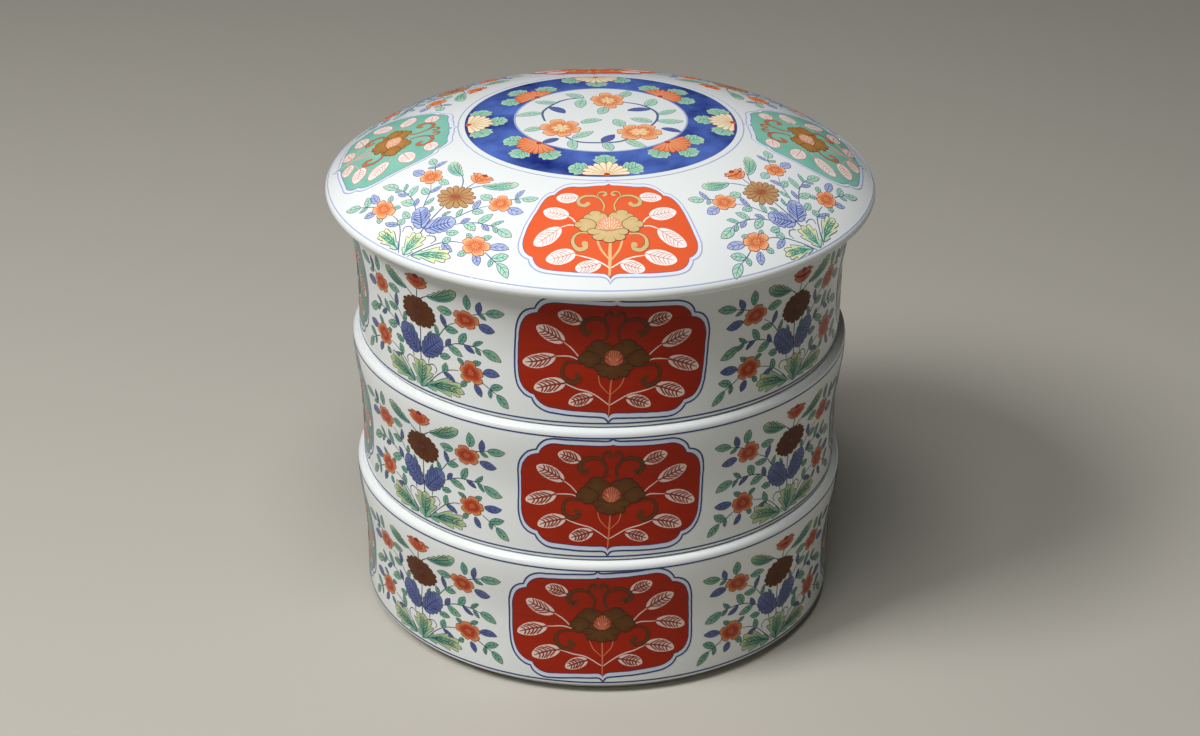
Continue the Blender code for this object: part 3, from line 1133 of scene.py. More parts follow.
DOME_PANEL = {
    "tips": (44.2, 2.9),
    "brows": (42.5, 4.8),
    "shoulders": ((14.6, 41.1), (15.6, 4.9)),
    "notches": ((20.7, 35.4), (20.2, 8.4)),
    "side": 24.4,
    "borders": (1.6, 1.05, 1.05),
    "lines": (0.34, 0.13),
    "leaves": (
        ((11.2, 34.2), (18.8, 33.2), 4.9),
        ((12.7, 25.2), (21.3, 26.1), 5.3),
        ((14.0, 20.2), (19.9, 12.9), 5.1),
        ((8.8, 12.0), (16.2, 8.8), 4.8),
        ((2.4, 9.0), (8.4, 6.9), 3.9),
    ),
    "leaf_stems": (
        ((9.9, 22.7), (11.2, 24.2), (12.9, 25.3)),
        ((9.9, 21.6), (11.9, 21.5), (14.2, 20.2)),
        ((0.2, 7.6), (4.0, 10.2), (9.0, 11.4)),
    ),
    "flower_stems": (((3.6, 17.8), (2.4, 13.8), (0.3, 10.2)), ((0.1, 16.4), (-0.1, 11.0), (-0.3, 5.2))),
    "scrolls": (
        ((2.1, 28.4), (1.8, 31.1), (3.3, 34.0), (5.5, 35.3), (8.2, 35.3), (10.1, 34.2), (11.0, 32.6),
         (10.2, 30.8), (8.4, 30.4), (7.5, 31.4)),
        ((5.4, 19.0), (8.2, 18.9), (9.7, 17.2), (9.6, 14.9), (8.0, 13.2), (6.3, 13.8), (6.5, 15.2)),
    ),
    "curls": (((3.7, 34.4), (4.4, 36.0), (3.5, 37.4), (1.7, 37.5), (1.0, 36.4), (1.9, 35.9)),),
    "scroll_widths": (1.45, 0.95),
    "vein_width": 0.17,
    "stem_widths": (0.85, 0.6),
    "peony": ((-0.1, 22.5), (0.95, 0.93), (3.8, 3.0)),
    "stamen_rows": (
        ("white", 0.3, 0.5, 5, 50.0, 0.24), ("white", 0.54, 0.74, 9, 68.0, 0.24),
        ("white", 0.78, 0.96, 11, 74.0, 0.24),
    ),
    "green_width": 0.93,
}

PANEL_PIGMENTS = {
    "red": {
        "field": "iron_red", "leaf": "white", "veins": "leaf_red", "edge": None, "leaf_stem": "white",
        "flower_stem": "stem", "petals": "gold", "scrolls": "tendril",
    },
    "green": {
        "field": "turquoise", "leaf": "white", "veins": "leaf_red", "edge": "leaf_red", "leaf_stem": "rose",
        "flower_stem": "rose", "petals": "old_gold", "scrolls": "russet",
    },
}


def bezier(start, first, second, end, steps):
    """Points of a cubic curve without its end."""
    found = []
    for step in range(steps):
        t = step / steps
        weights = ((1.0 - t) ** 3, 3.0 * t * (1.0 - t) ** 2, 3.0 * t * t * (1.0 - t), t ** 3)
        found.append(tuple(
            sum(w * p[axis] for w, p in zip(weights, (start, first, second, end))) for axis in (0, 1)
        ))
    return found


def half_cartouche(panel, inset):
    """The panel's outline on the right from its upper to its lower tip, drawn in by a share of the border."""
    ends = []
    side_inset = panel["borders"][1] * inset
    corners = (panel[kind] for kind in ("tips", "brows", "shoulders", "notches"))
    for sign, border, tip, brow, shoulder, notch in zip((1.0, -1.0), panel["borders"][::2], *corners):
        drop = sign * border * inset
        tip = (0.0, tip - drop * 1.3)
        brow = (2.4, brow - drop)
        shoulder = (shoulder[0] - side_inset * 0.2, shoulder[1] - drop)
        notch = (notch[0] - side_inset * 0.75, notch[1] - drop * 0.8)
        run = (notch[0] - shoulder[0], notch[1] - shoulder[1])
        third = (shoulder[0] - brow[0]) / 3.0
        piece = bezier(tip, (0.3, brow[1] + (tip[1] - brow[1]) * 0.35), (1.0, brow[1]), brow, 4)
        piece += bezier(brow, (brow[0] + third, brow[1]), (shoulder[0] - third, shoulder[1]), shoulder, 9)
        piece += bezier(
            shoulder,
            (shoulder[0] + run[0] * 0.55, shoulder[1] + run[1] * 0.06),
            (notch[0] - run[0] * 0.1, notch[1] - run[1] * 0.5),
            notch, 7)
        ends.append((piece, notch))
    side = panel["side"] - side_inset
    (upper, top_notch), (lower, low_notch) = ends
    height = top_notch[1] - low_notch[1]
    found = list(upper)
    flank_top = (side, top_notch[1] - 0.36 * height)
    flank_low = (side, low_notch[1] + 0.30 * height)
    found += bezier(
        top_notch,
        (top_notch[0] + (side - top_notch[0]) * 0.7, top_notch[1] - 0.02 * height),
        (side, top_notch[1] - 0.15 * height),
        flank_top, 8)
    swell = side + 0.2
    found += bezier(flank_top, (swell, flank_top[1] - 2.0), (swell, flank_low[1] + 2.0), flank_low, 6)
    found += bezier(
        flank_low,
        (side, low_notch[1] + 0.14 * height),
        (low_notch[0] + (side - low_notch[0]) * 0.7, low_notch[1] + 0.02 * height),
        low_notch, 8)
    found.append(low_notch)
    found += reversed(lower)
    return found


def cartouche(panel, inset=0.0):
    """The panel's whole outline, closed."""
    right = half_cartouche(panel, inset)
    return right + [(-u, v) for u, v in reversed(right[1:-1])]


# Petals of the peony: place, half size, lobes, the way they face, their sweep and their back's share
BACK_PETALS = (
    ((-4.2, 2.9), (4.3, 3.6), 3, 100.0, 240.0, 0.8),
    ((4.2, 2.9), (4.3, 3.6), 3, 80.0, 240.0, 0.8),
)
FRONT_PETALS = (
    ((-7.0, -0.1), (3.8, 3.1), 3, 186.0, 220.0, 0.8),
    ((7.0, -0.1), (3.8, 3.1), 3, -6.0, 220.0, 0.8),
    ((-0.2, -3.0), (6.0, 4.2), 5, 270.0, 226.0, 0.12),
)
CUP_RADII = (5.6, 3.4)
PETAL_STEP = 1.2                               # from one petal's coat to the next one's
HEART_STEP = 1.8                               # from the heart's coat to the front petals'
OVER_HEART = 0.8                               # of the first row of stamens above the heart
STAMEN_STEP = 0.6                              # from one row of stamens to the next
STAMEN_LENGTHS = (0.93, 1.05)                  # as shares of the length given
OVER_PEONY = 0.6                               # of a line above a petal


def peony(pen, pigment, centre, scale, heart, rows):
    """The panel's great flower: lobed petals behind, beside and in front of a round heart full of stamens."""
    middle = pen.place(*centre)
    stack = PETAL
    samples = 7
    cup = lobed(middle, (CUP_RADII[0] * scale[0], CUP_RADII[1] * scale[1]), 12, 0.0, samples=2)
    disc(pen.coat(pigment), middle, cup, 3, lambda share: 0.4, stack - OVER_PEONY)
    for petals in (BACK_PETALS, FRONT_PETALS):
        for place, size, lobes, facing, sweep, back in petals:
            root = (middle[0] + place[0] * scale[0], middle[1] + place[1] * scale[1])
            contour = lobed(root, (size[0] * scale[0], size[1] * scale[1]), lobes, 0.2, facing, sweep,
                            samples=samples, chance=pen.chance, back=back)
            disc(pen.coat(pigment), root, contour, 3, lambda share: 0.2 + 0.5 * share, stack)
            ribbon(pen.coat("sepia"), contour, FINE_LINE, stack + OVER_PEONY, closed=True)
            for lobe in range(1, lobes):
                notch = contour[lobe * samples]
                crease(pen.coat("sepia"), root, notch, 0.6, 0.18, stack + OVER_PEONY, start=0.4)
            stack += PETAL_STEP
        if petals is BACK_PETALS:
            stamens(pen, (middle[0] + 0.1, middle[1] + 0.2 * scale[1]), heart, rows, stack)
            stack += HEART_STEP


def stamens(pen, middle, radii, rows, level):
    """The peony's heart with fans of fine strokes, which spread from its lower edge."""
    contour = lobed(middle, radii, 9, 0.05, 90.0, samples=4)
    disc(pen.coat("heart"), middle, contour, 3, lambda share: 0.2 + 0.6 * share, level)
    level += OVER_HEART
    foot = (middle[0], middle[1] - radii[1])
    for pigment, near, far, count, spread, width in rows:
        for index in range(count):
            bearing = math.radians(90.0 + spread * (2.0 * index / (count - 1) - 1.0))
            ends = []
            for share in (near, far * pen.chance.uniform(*STAMEN_LENGTHS)):
                across = radii[0] * share * math.cos(bearing)
                up = 2.0 * radii[1] * share * math.sin(bearing)
                ends.append((foot[0] + across, foot[1] + up))
            ribbon(pen.coat(pigment), ends, width, level, ends=(0.6, 0.9))
        level += STAMEN_STEP


def scroll(pen, pigment, points, width, level):
    """A curling tendril that thickens towards the ball at its end."""
    path = smooth([pen.place(*point) for point in points])
    coat = pen.coat(pigment)
    rows = []
    for index, (point, left) in enumerate(zip(path, left_of(path))):
        share = index / (len(path) - 1)
        half = width / 2.0 * (0.45 + 0.55 * ease(share * 1.3))
        rows.append([tuple(p + n * half * side for p, n in zip(point, left)) for side in (1.0, -1.0)])
    band(coat, rows, [EVEN_TONE] * (2 * len(rows)), level)
    dot(coat, path[-1], (width * 0.58, width * 0.58), 10, 0.0, level + 0.5)
    for side in (0, 1):
        ribbon(pen.coat("sepia"), [row[side] for row in rows[:-3]], 0.15, level + 1.0, ends=(0.5, 0.3))


def panel(pen, layout, kind):
    """One lobed panel: border, field, peony, tendrils and leaves."""
    pigments = PANEL_PIGMENTS[kind]
    outer_line, inner_line = layout["lines"]
    outer = [pen.place(*point) for point in cartouche(layout)]
    inner = [pen.place(*point) for point in cartouche(layout, 1.0)]
    middle = pen.place(0.0, (layout["tips"][0] + layout["tips"][1]) / 2.0)
    border = [list(pair) for pair in zip(outer, inner)]
    band(pen.coat("wash"), border, [0.4, 0.6] * len(outer), WASH, closed=True)
    disc(pen.coat(pigments["field"]), middle, inner, 13, lambda share: 0.35 + 0.3 * share, FIELD)
    ribbon(pen.coat("border"), outer, outer_line, BLADE, closed=True)
    ribbon(pen.coat("cobalt"), inner, inner_line, BLADE, closed=True)
    for side in (pen, pen.mirrored()):
        for base, tip, width in layout["leaves"]:
            leaf(side, pigments["leaf"], base, tip, width, bend=pen.chance.uniform(-0.04, 0.06), widest=0.48,
                 full=0.5, point=0.06, tones=(0.5, 0.5, 0.0), veins=5, vein_width=layout["vein_width"],
                 vein_reach=0.86, vein_ink=pigments["veins"], outline=pigments["edge"])
        for stem in layout["leaf_stems"]:
            line(side, pigments["leaf_stem"], stem, STEM_WIDTH)
        line(side, pigments["flower_stem"], layout["flower_stems"][0], layout["stem_widths"][1])
        for curves, width in zip(("scrolls", "curls"), layout["scroll_widths"]):
            for points in layout[curves]:
                scroll(side, pigments["scrolls"], points, width, HIGH_BLADE)
    line(pen, pigments["flower_stem"], layout["flower_stems"][1], layout["stem_widths"][0])
    peony(pen, pigments["petals"], *layout["peony"], layout["stamen_rows"])


# Medallion on the crown

# A wreath on white inside a cobalt band, and fine lines round it
MEDALLION_RADIUS = 28.2
BAND_RADIUS = 44.1
BAND_STEPS = 10
HALO_RADIUS = 46.2
EDGE_LINE_RADIUS = 88.8
MEDALLION_LINE = 0.6                           # width of the line on the band's inner edge
EDGE_LINE_RISE = 0.4                           # of a box's lower line above its wall's edge

# Lines all round: height or radius of the line's middle, and its width
BOX_LINES = ((LINE_HEIGHT, 0.5), (EDGE_HEIGHT + EDGE_LINE_RISE, 0.5))
LID_LINES = (
    (EDGE_LINE_RADIUS, 0.3),
    (HALO_RADIUS, 0.35),
    (MEDALLION_RADIUS - MEDALLION_LINE / 2.0, MEDALLION_LINE),
)

# Half blooms of a quarter of the band: place, the way each faces, radius, petals and pigment
OUTER_INSET = 1.6                              # of a bloom's middle from the band's outer edge
INNER_INSET = 0.6                              # and from its inner edge
CORNER = (MEDALLION_RADIUS + INNER_INSET) * math.sqrt(0.5)
EDGE_BLOOMS = (
    ((0.0, OUTER_INSET - BAND_RADIUS), 90.0, 7.6, 10, "yellow"),
    ((CORNER, -CORNER), -45.0, 7.4, 11, "persimmon"),
)
BLOOM_HEART = (1.0, 0.9)

# Leaves behind a half bloom: lean from its middle and length, then where they start and their width, all but
# the lean as shares of its radius
BLOOM_LEAVES = ((-66.0, 1.0), (0.0, 0.98), (66.0, 1.0))
BLOOM_LEAF_START = 0.66
BLOOM_LEAF_WIDTH = 1.08

# Flowers, vines and leaves of the wreath, seen from above with the front panel below
CROWN_FLOWERS = (((2.9, 15.0), (5.9, 7.6)), ((-13.3, -9.3), (7.0, 7.2)), ((11.7, -12.9), (8.2, 6.6)))
VINE_WIDTH = 0.8
CROWN_LEAF_WIDTH = 1.15                        # as a share of the widths given
CROWN_VINES = (
    ((-4.6, 18.0), (-10.5, 16.6), (-15.8, 11.6), (-18.9, 5.0), (-18.4, -2.6)),
    ((8.4, 13.4), (13.6, 10.8), (18.0, 4.4), (18.0, -3.0), (15.4, -8.6)),
    ((-12.0, -16.0), (-7.4, -20.6), (-0.6, -21.6), (5.4, -20.6), (9.0, -17.6)),
)
CROWN_LEAVES = (
    ("green", (-5.2, 17.6), (-10.6, 22.6), 3.2),
    ("green", (-5.0, 16.2), (-6.1, 8.0), 3.2),
    ("green", (15.0, 10.2), (18.4, 17.4), 3.4),
    ("green", (7.2, 19.0), (10.4, 25.2), 3.0),
    ("green", (-19.0, 4.0), (-27.0, 3.4), 3.2),
    ("green", (-6.4, -5.6), (0.2, -3.2), 2.9),
    ("green", (5.6, -8.4), (4.2, -2.6), 3.6),
    ("green", (1.2, 8.6), (-0.4, 2.0), 3.2),
    ("green", (16.4, -4.4), (9.6, -1.6), 3.2),
    ("green", (18.2, -3.2), (26.8, -2.4), 3.2),
    ("green", (18.6, 2.4), (24.8, 7.6), 2.6),
    ("green", (-9.6, -17.4), (-3.0, -12.6), 3.0),
    ("green", (-9.4, -18.6), (-9.0, -25.6), 3.0),
    ("green", (0.4, -21.4), (2.2, -27.0), 3.0),
    ("green", (7.6, -19.0), (13.4, -24.2), 3.2),
    ("green", (-19.4, -8.4), (-25.0, -10.0), 3.0),
    ("green", (-14.0, 13.8), (-21.0, 15.6), 3.0),
    ("night_blue", (-16.8, 9.6), (-11.8, 3.4), 3.2),
    ("night_blue", (16.2, 7.0), (9.0, 5.4), 2.9),
    ("night_blue", (-0.6, -21.0), (3.6, -15.4), 3.0),
    ("night_blue", (19.2, -9.8), (25.4, -12.2), 2.6),
    ("night_blue", (-14.2, -17.2), (-19.6, -20.6), 2.6),
)


def crown(pen):
    """The wreath of three flowers inside the cobalt band."""
    for vine in CROWN_VINES:
        line(pen, "vine", vine, VINE_WIDTH, STEM, ends=(0.8, 0.8))
    for pigment, base, tip, width in CROWN_LEAVES:
        bend = pen.chance.uniform(-LEAF_BEND, LEAF_BEND)
        leaf(pen, pigment, base, tip, CROWN_LEAF_WIDTH * width, bend=bend, veins=3)
    for centre, radii in CROWN_FLOWERS:
        blossom(pen, centre, radii, petals=6, turn=pen.chance.uniform(0.0, 60.0), heart=0.42, heart_tone=0.0)


def half_bloom(pen, centre, facing, radius, petals, pigment):
    """Half a chrysanthemum on an edge of the cobalt band, fanning over it, with three leaves behind."""
    for lean, reach in BLOOM_LEAVES:
        bearing = math.radians(facing + lean)
        out = (math.cos(bearing), math.sin(bearing))
        base = tuple(place + BLOOM_LEAF_START * radius * part for place, part in zip(centre, out))
        tip = tuple(place + reach * radius * part for place, part in zip(base, out))
        leaf(pen, "mint", base, tip, BLOOM_LEAF_WIDTH * radius, bend=0.0, widest=0.5, full=0.36,
             tones=(0.0, 0.25, 0.3), teeth=3, tooth_depth=0.3, forward=0.06, veins=4, vein_width=0.24)
    middle = pen.place(*centre)
    samples = 7
    contour = lobed(middle, (radius, radius), petals, depth=0.2, turn=facing, sweep=186.0, samples=samples,
                    chance=pen.chance, back=0.14)
    disc(pen.coat(pigment), middle, contour, 4, lambda share: 0.25 + 0.75 * share, PETAL)
    lines = pen.coat("red_line")
    ribbon(lines, contour, FINE_LINE, PETAL + OVER_PETAL, closed=True)
    for petal in range(1, petals):
        crease(lines, middle, contour[petal * samples], 0.2, FINE_LINE)
    dot(lines, middle, BLOOM_HEART, 7, 0.0, PETAL + OVER_BLOOM)


def edge_blooms(pen):
    """The half chrysanthemums of a quarter of the cobalt band."""
    for bloom in EDGE_BLOOMS:
        half_bloom(pen, *bloom)


# Glaze and pigments

GLAZE_ROUGHNESS = 0.09
BISCUIT_ROUGHNESS = 0.75


def linear(red, green, blue):
    """A colour as the eye sees it, from 0 to 255, as the shader wants it."""
    found = []
    for part in (red, green, blue):
        part /= 255.0
        found.append(part / 12.92 if part <= 0.04045 else ((part + 0.055) / 1.055) ** 2.4)
    return (*found, 1.0)


class Finish(NodeMaker):
    """A material in the making, with the nodes that the glaze and the pigments share."""

    def __init__(self, name):
        self.material = bpy.data.materials.new(name)
        self.material.use_nodes = True
        super().__init__(self.material.node_tree)
        self.shader = self.tree.nodes["Principled BSDF"].inputs
        self.place = self.add("ShaderNodeTexCoord").outputs["Object"]

    def marks(self, name):
        """The numbers that a mesh carries under a name."""
        return self.add("ShaderNodeAttribute", attribute_name=name).outputs["Fac"]

    def clouds(self, scale, detail, place=None):
        inputs = {"Vector": place or self.place, "Scale": scale, "Detail": detail}
        return self.add("ShaderNodeTexNoise", inputs).outputs["Fac"]

    def colours(self, share, first, last):
        """A colour that goes from the first to the last one with a share."""
        node = self.add("ShaderNodeValToRGB", {0: share})
        node.color_ramp.elements[0].color = linear(*first)
        node.color_ramp.elements[1].color = linear(*last)
        return node.outputs[0]

    def bumps(self, clouds, strength, depth):
        """Unevenness of the surface, of a depth in millimetres."""
        bump = self.add("ShaderNodeBump", {"Height": clouds, "Strength": strength, "Distance": depth * MM})
        self.put(self.shader["Normal"], bump.outputs[0])


def painted(name, thin, thick, roughness, mottle, mottle_scale, metallic=0.0, gloss=0.4, streaks=1.0):
    """A pigment whose colour goes from thin to thick with its tone, uneven as brushed enamel is.

    Its clouds are drawn out into level brush streaks by the number given.
    """
    finish = Finish(name)
    finish.shader["Roughness"].default_value = roughness
    finish.shader["Metallic"].default_value = metallic
    finish.shader["Specular IOR Level"].default_value = gloss
    tone = finish.marks("tone")
    brushed = finish.add("ShaderNodeMapping", {"Vector": finish.place, "Scale": (1.0, 1.0, streaks)})
    clouds = finish.clouds(mottle_scale, 4.0, brushed.outputs[0])
    drift = finish.math("MULTIPLY", finish.math("SUBTRACT", clouds, 0.5), mottle * 3.0)
    colour = finish.colours(finish.math("ADD", tone, drift), thin, thick)
    finish.put(finish.shader["Base Color"], colour)
    finish.bumps(finish.clouds(mottle_scale * 5.0, 2.0), 0.3, 0.04)
    finish.material.diffuse_color = linear(*thick)
    return finish.material


def glazed_porcelain():
    """Clear bluish glaze over white porcelain, faintly wavy; the bare body shows on the foot and the seat."""
    finish = Finish("glazed_porcelain")
    bare = finish.marks("bare")
    glaze = finish.colours(finish.clouds(24.0, 3.0), (232, 238, 240), (240, 242, 239))
    biscuit = finish.colours(finish.clouds(900.0, 3.0), (205, 196, 180), (232, 226, 214))
    colour = finish.add("ShaderNodeMix", {0: bare, 6: glaze, 7: biscuit}, data_type="RGBA")
    finish.put(finish.shader["Base Color"], colour.outputs[2])
    dullness = finish.add("ShaderNodeMapRange", {
        "Value": bare,
        "To Min": GLAZE_ROUGHNESS,
        "To Max": BISCUIT_ROUGHNESS,
    })
    finish.put(finish.shader["Roughness"], dullness.outputs[0])
    finish.bumps(finish.clouds(38.0, 2.0), 0.35, 0.25)
    return finish.material


# Thin and thick colour, roughness, unevenness and its fineness for each pigment
PIGMENTS = {
    "cobalt": painted("cobalt_line", (44, 56, 112), (22, 32, 80), 0.18, 0.3, 300.0),
    "border": painted("cobalt_border_line", (54, 76, 130), (32, 48, 98), 0.18, 0.3, 300.0),
    "wash": painted("pale_cobalt_wash", (230, 235, 247), (204, 214, 238), 0.14, 0.35, 120.0),
    "cobalt_band": painted("cobalt_ground", (92, 122, 204), (24, 38, 112), 0.15, 0.85, 64.0),
    "iron_red": painted("iron_red_enamel", (178, 46, 20), (154, 36, 14), 0.3, 0.35, 60.0, gloss=0.12,
                        streaks=7.0),
    "leaf_red": painted("red_of_the_veins", (156, 54, 36), (126, 38, 24), 0.3, 0.3, 300.0),
    "red_line": painted("red_outline", (160, 34, 14), (126, 22, 10), 0.3, 0.3, 300.0, gloss=0.2),
    "turquoise": painted("turquoise_enamel", (84, 156, 138), (50, 114, 102), 0.18, 0.4, 60.0, streaks=4.0),
    "green": painted("leaf_green_enamel", (98, 165, 147), (228, 224, 150), 0.16, 0.12, 420.0, gloss=0.3),
    "mint": painted("mint_leaf_enamel", (146, 208, 188), (224, 234, 186), 0.16, 0.14, 420.0),
    "leaf_line": painted("leaf_vein_line", (16, 84, 74), (12, 64, 56), 0.2, 0.2, 420.0, gloss=0.3),
    "blue": painted("overglaze_blue_enamel", (118, 132, 186), (62, 76, 134), 0.18, 0.35, 420.0, gloss=0.3),
    "night_blue": painted("dark_overglaze_blue_enamel", (96, 108, 172), (62, 74, 140), 0.18, 0.3, 420.0),
    "orange": painted("persimmon_enamel", (238, 198, 124), (188, 64, 32), 0.24, 0.08, 420.0, gloss=0.25),
    "persimmon": painted("persimmon_bloom_enamel", (250, 194, 144), (240, 132, 84), 0.24, 0.1, 420.0),
    "yellow": painted("straw_yellow_enamel", (246, 218, 164), (250, 242, 210), 0.2, 0.1, 420.0),
    "white": painted("white_enamel", (234, 206, 194), (240, 216, 206), 0.26, 0.2, 420.0, gloss=0.25),
    "rose": painted("rose_enamel", (206, 134, 122), (216, 156, 146), 0.24, 0.2, 420.0),
    "heart": painted("peony_heart", (188, 90, 60), (168, 68, 42), 0.26, 0.2, 420.0, gloss=0.2),
    "stamen": painted("stamen_line", (220, 128, 92), (206, 106, 72), 0.26, 0.2, 420.0),
    "stem": painted("stem_line", (214, 110, 72), (222, 130, 90), 0.26, 0.2, 420.0),
    "vine": painted("grey_blue_vine", (104, 122, 160), (72, 90, 132), 0.24, 0.3, 300.0),
    # The boxes' golds and browns are darker as painted shade, the gold also as a painted dark reflection
    "gold": painted("dark_gold", (112, 73, 37), (92, 57, 28), 0.4, 0.3, 260.0, metallic=0.1, gloss=0.15),
    "tendril": painted("brown_gold", (114, 66, 34), (94, 52, 26), 0.4, 0.3, 260.0, gloss=0.15),
    "bronze": painted("dark_gold_brown", (84, 43, 17), (100, 54, 23), 0.4, 0.25, 260.0, gloss=0.12),
    "bloom_line": painted("dark_brown_outline", (62, 30, 14), (50, 24, 12), 0.3, 0.3, 400.0, gloss=0.2),
    "bloom_heart": painted("red_brown_heart", (112, 42, 24), (96, 34, 20), 0.3, 0.2, 420.0, gloss=0.2),
    "sepia": painted("brown_outline", (70, 40, 24), (50, 28, 18), 0.28, 0.3, 400.0, gloss=0.2),
    "ink": painted("outline_black", (54, 62, 86), (34, 42, 66), 0.24, 0.3, 400.0, gloss=0.3),
    # The pale, lit and bright pigments below are the lid's lighter copies, with painted light in their
    # colours
    "pale_cobalt": painted("thin_cobalt_line", (98, 114, 176), (70, 86, 150), 0.18, 0.3, 300.0),
    "pale_border": painted("thin_cobalt_border_line", (180, 192, 222), (156, 170, 208), 0.18, 0.3, 300.0),
    "pale_wash": painted("thin_cobalt_wash", (240, 243, 249), (226, 232, 244), 0.14, 0.3, 120.0),
    "bright_red": painted("bright_iron_red_enamel", (236, 108, 66), (228, 92, 50), 0.28, 0.3, 60.0, gloss=0.2,
                          streaks=7.0),
    "pale_leaf_red": painted("thin_red_of_the_veins", (228, 136, 108), (214, 112, 86), 0.3, 0.3, 300.0),
    "pale_red_line": painted("thin_red_outline", (206, 78, 40), (180, 56, 28), 0.3, 0.3, 300.0),
    "pale_turquoise": painted("thin_turquoise_enamel", (158, 214, 194), (118, 186, 168), 0.18, 0.4, 60.0,
                              streaks=4.0),
    "pale_green": painted("thin_leaf_green_enamel", (176, 223, 204), (246, 240, 176), 0.16, 0.12, 420.0),
    "pale_leaf_line": painted("thin_leaf_vein_line", (92, 162, 142), (68, 138, 120), 0.2, 0.2, 420.0),
    "pale_blue": painted("thin_overglaze_blue_enamel", (204, 213, 240), (160, 175, 222), 0.18, 0.4, 420.0),
    "pale_orange": painted("thin_persimmon_enamel", (252, 230, 178), (242, 150, 98), 0.24, 0.08, 420.0),
    "pale_white": painted("thin_white_enamel", (250, 242, 238), (252, 248, 246), 0.26, 0.2, 420.0),
    "pale_rose": painted("thin_rose_enamel", (224, 170, 160), (232, 190, 182), 0.24, 0.2, 420.0),
    "pale_heart": painted("pale_peony_heart", (242, 184, 138), (232, 156, 112), 0.26, 0.2, 420.0),
    # The green panels' gold and russet, darker on the boxes as painted shade; the lid's copies follow
    "old_gold": painted("olive_gold", (132, 92, 46), (108, 70, 30), 0.4, 0.3, 260.0, metallic=0.1,
                        gloss=0.15),
    "russet": painted("russet_line", (158, 78, 50), (128, 56, 34), 0.34, 0.3, 260.0, gloss=0.2),
    "pale_old_gold": painted("thin_olive_gold", (196, 146, 82), (172, 118, 58), 0.36, 0.3, 260.0,
                             metallic=0.1),
    "pale_russet": painted("thin_russet_line", (208, 134, 100), (188, 106, 76), 0.3, 0.3, 260.0),
    "bright_gold": painted("burnished_gold", (234, 208, 152), (216, 186, 130), 0.36, 0.3, 260.0,
                           metallic=0.1),
    "gold_brown": painted("gold_brown", (188, 138, 90), (208, 164, 116), 0.36, 0.25, 260.0, metallic=0.1),
    "pale_stem": painted("gold_stem_line", (242, 200, 146), (236, 184, 124), 0.26, 0.2, 420.0),
    "pale_sepia": painted("thin_brown_outline", (142, 90, 52), (112, 66, 38), 0.28, 0.3, 400.0),
    "pink_heart": painted("pink_brown_heart", (190, 92, 70), (170, 74, 56), 0.3, 0.2, 420.0),
    "pale_ink": painted("thin_outline_black", (106, 118, 154), (80, 92, 130), 0.24, 0.3, 400.0),
}
PORCELAIN = glazed_porcelain()

# Lighter copies of the boxes' pigments for the lid, as painted light; its gilding is the brighter as a
# painted reflection
LID_PIGMENTS = {
    "cobalt": "pale_cobalt",
    "border": "pale_border",
    "wash": "pale_wash",
    "iron_red": "bright_red",
    "leaf_red": "pale_leaf_red",
    "red_line": "pale_red_line",
    "turquoise": "pale_turquoise",
    "green": "pale_green",
    "leaf_line": "pale_leaf_line",
    "blue": "pale_blue",
    "orange": "pale_orange",
    "white": "pale_white",
    "rose": "pale_rose",
    "heart": "pale_heart",
    "stem": "pale_stem",
    "gold": "bright_gold",
    "tendril": "bright_gold",
    "old_gold": "pale_old_gold",
    "russet": "pale_russet",
    "bronze": "gold_brown",
    "sepia": "pale_sepia",
    "bloom_line": "pale_sepia",
    "bloom_heart": "pink_heart",
    "ink": "pale_ink",
}


# Assembly of the painted bodies

def mark(mesh, name, values):
    """Lets a mesh carry a number for each of its points."""
    mesh.attributes.new(name, "FLOAT", "POINT").data.foreach_set("value", values)
    return mesh


def porcelain(body, section, height, inner, outer, heights):
    """The body itself, glazed but for a ring between two radii and two heights above where it stands."""
    name = body + "_porcelain"
    mesh = turned(name, section, height, PORCELAIN)
    low, high = heights
    marks = []
    for vertex in mesh.vertices:
        radius = math.hypot(vertex.co.x, vertex.co.y) / MM
        level = vertex.co.z / MM - height
        marks.append(1.0 if inner < radius < outer and low < level < high else 0.0)
    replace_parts(settle(name, [mark(mesh, "bare", marks)], body), body)


def leant(pen, middle, climb, lean, left_width):
    """The same pen with its design climbing to the right, leaning left and narrowed in its left half."""
    climb = math.radians(climb)
    lean = math.radians(lean)

    def place(u, v):
        if u < 0.0:
            u *= left_width
        up = v - middle
        return u * math.cos(climb) - up * math.sin(lean), middle + u * math.sin(climb) + up * math.cos(lean)

    return pen.moved(place)


def around(pen, scale_radius, layout, hand, bunch, spray_place=None, spray_size=1.0):
    """Half the round of a body: a red panel, a spray, a green panel and another spray.

    The hand gives the red panel's tilt and how much its left half is narrowed.
    """
    middle = (layout["tips"][0] + layout["tips"][1]) / 2.0
    tilt, left_width = hand
    panel(leant(pen, middle, tilt, tilt, left_width), layout, "red")
    centre = math.radians(GREEN_BEARING) * scale_radius
    panel(pen.moved(lambda u, v: (centre + u * layout["green_width"], v)), layout, "green")
    for bearing, *hand in bunch["sprays"]:
        stem = math.radians(bearing) * scale_radius

        def place(u, v, stem=stem):
            if spray_place:
                u, v = spray_place(u, v)
            return u + stem, v

        spray(leant(pen.moved(place, spray_size), SPRAY_MIDDLE, *hand), bunch)


def unsteady(coats, sheet):
    """Lets every point of a drawing wander a little, as under a hand-held brush."""
    for coat in coats.values():
        for index, (u, v, height) in enumerate(coat.points):
            moved_u = u
            moved_v = v
            for order, (waves, sideways, upwards) in enumerate(WANDERS):
                drift = noise.noise_vector(Vector((u * waves, v * waves, sheet + 0.5 * order)))
                moved_u += sideways * drift.x
                moved_v += upwards * drift.y
            coat.points[index] = (moved_u, moved_v, height)


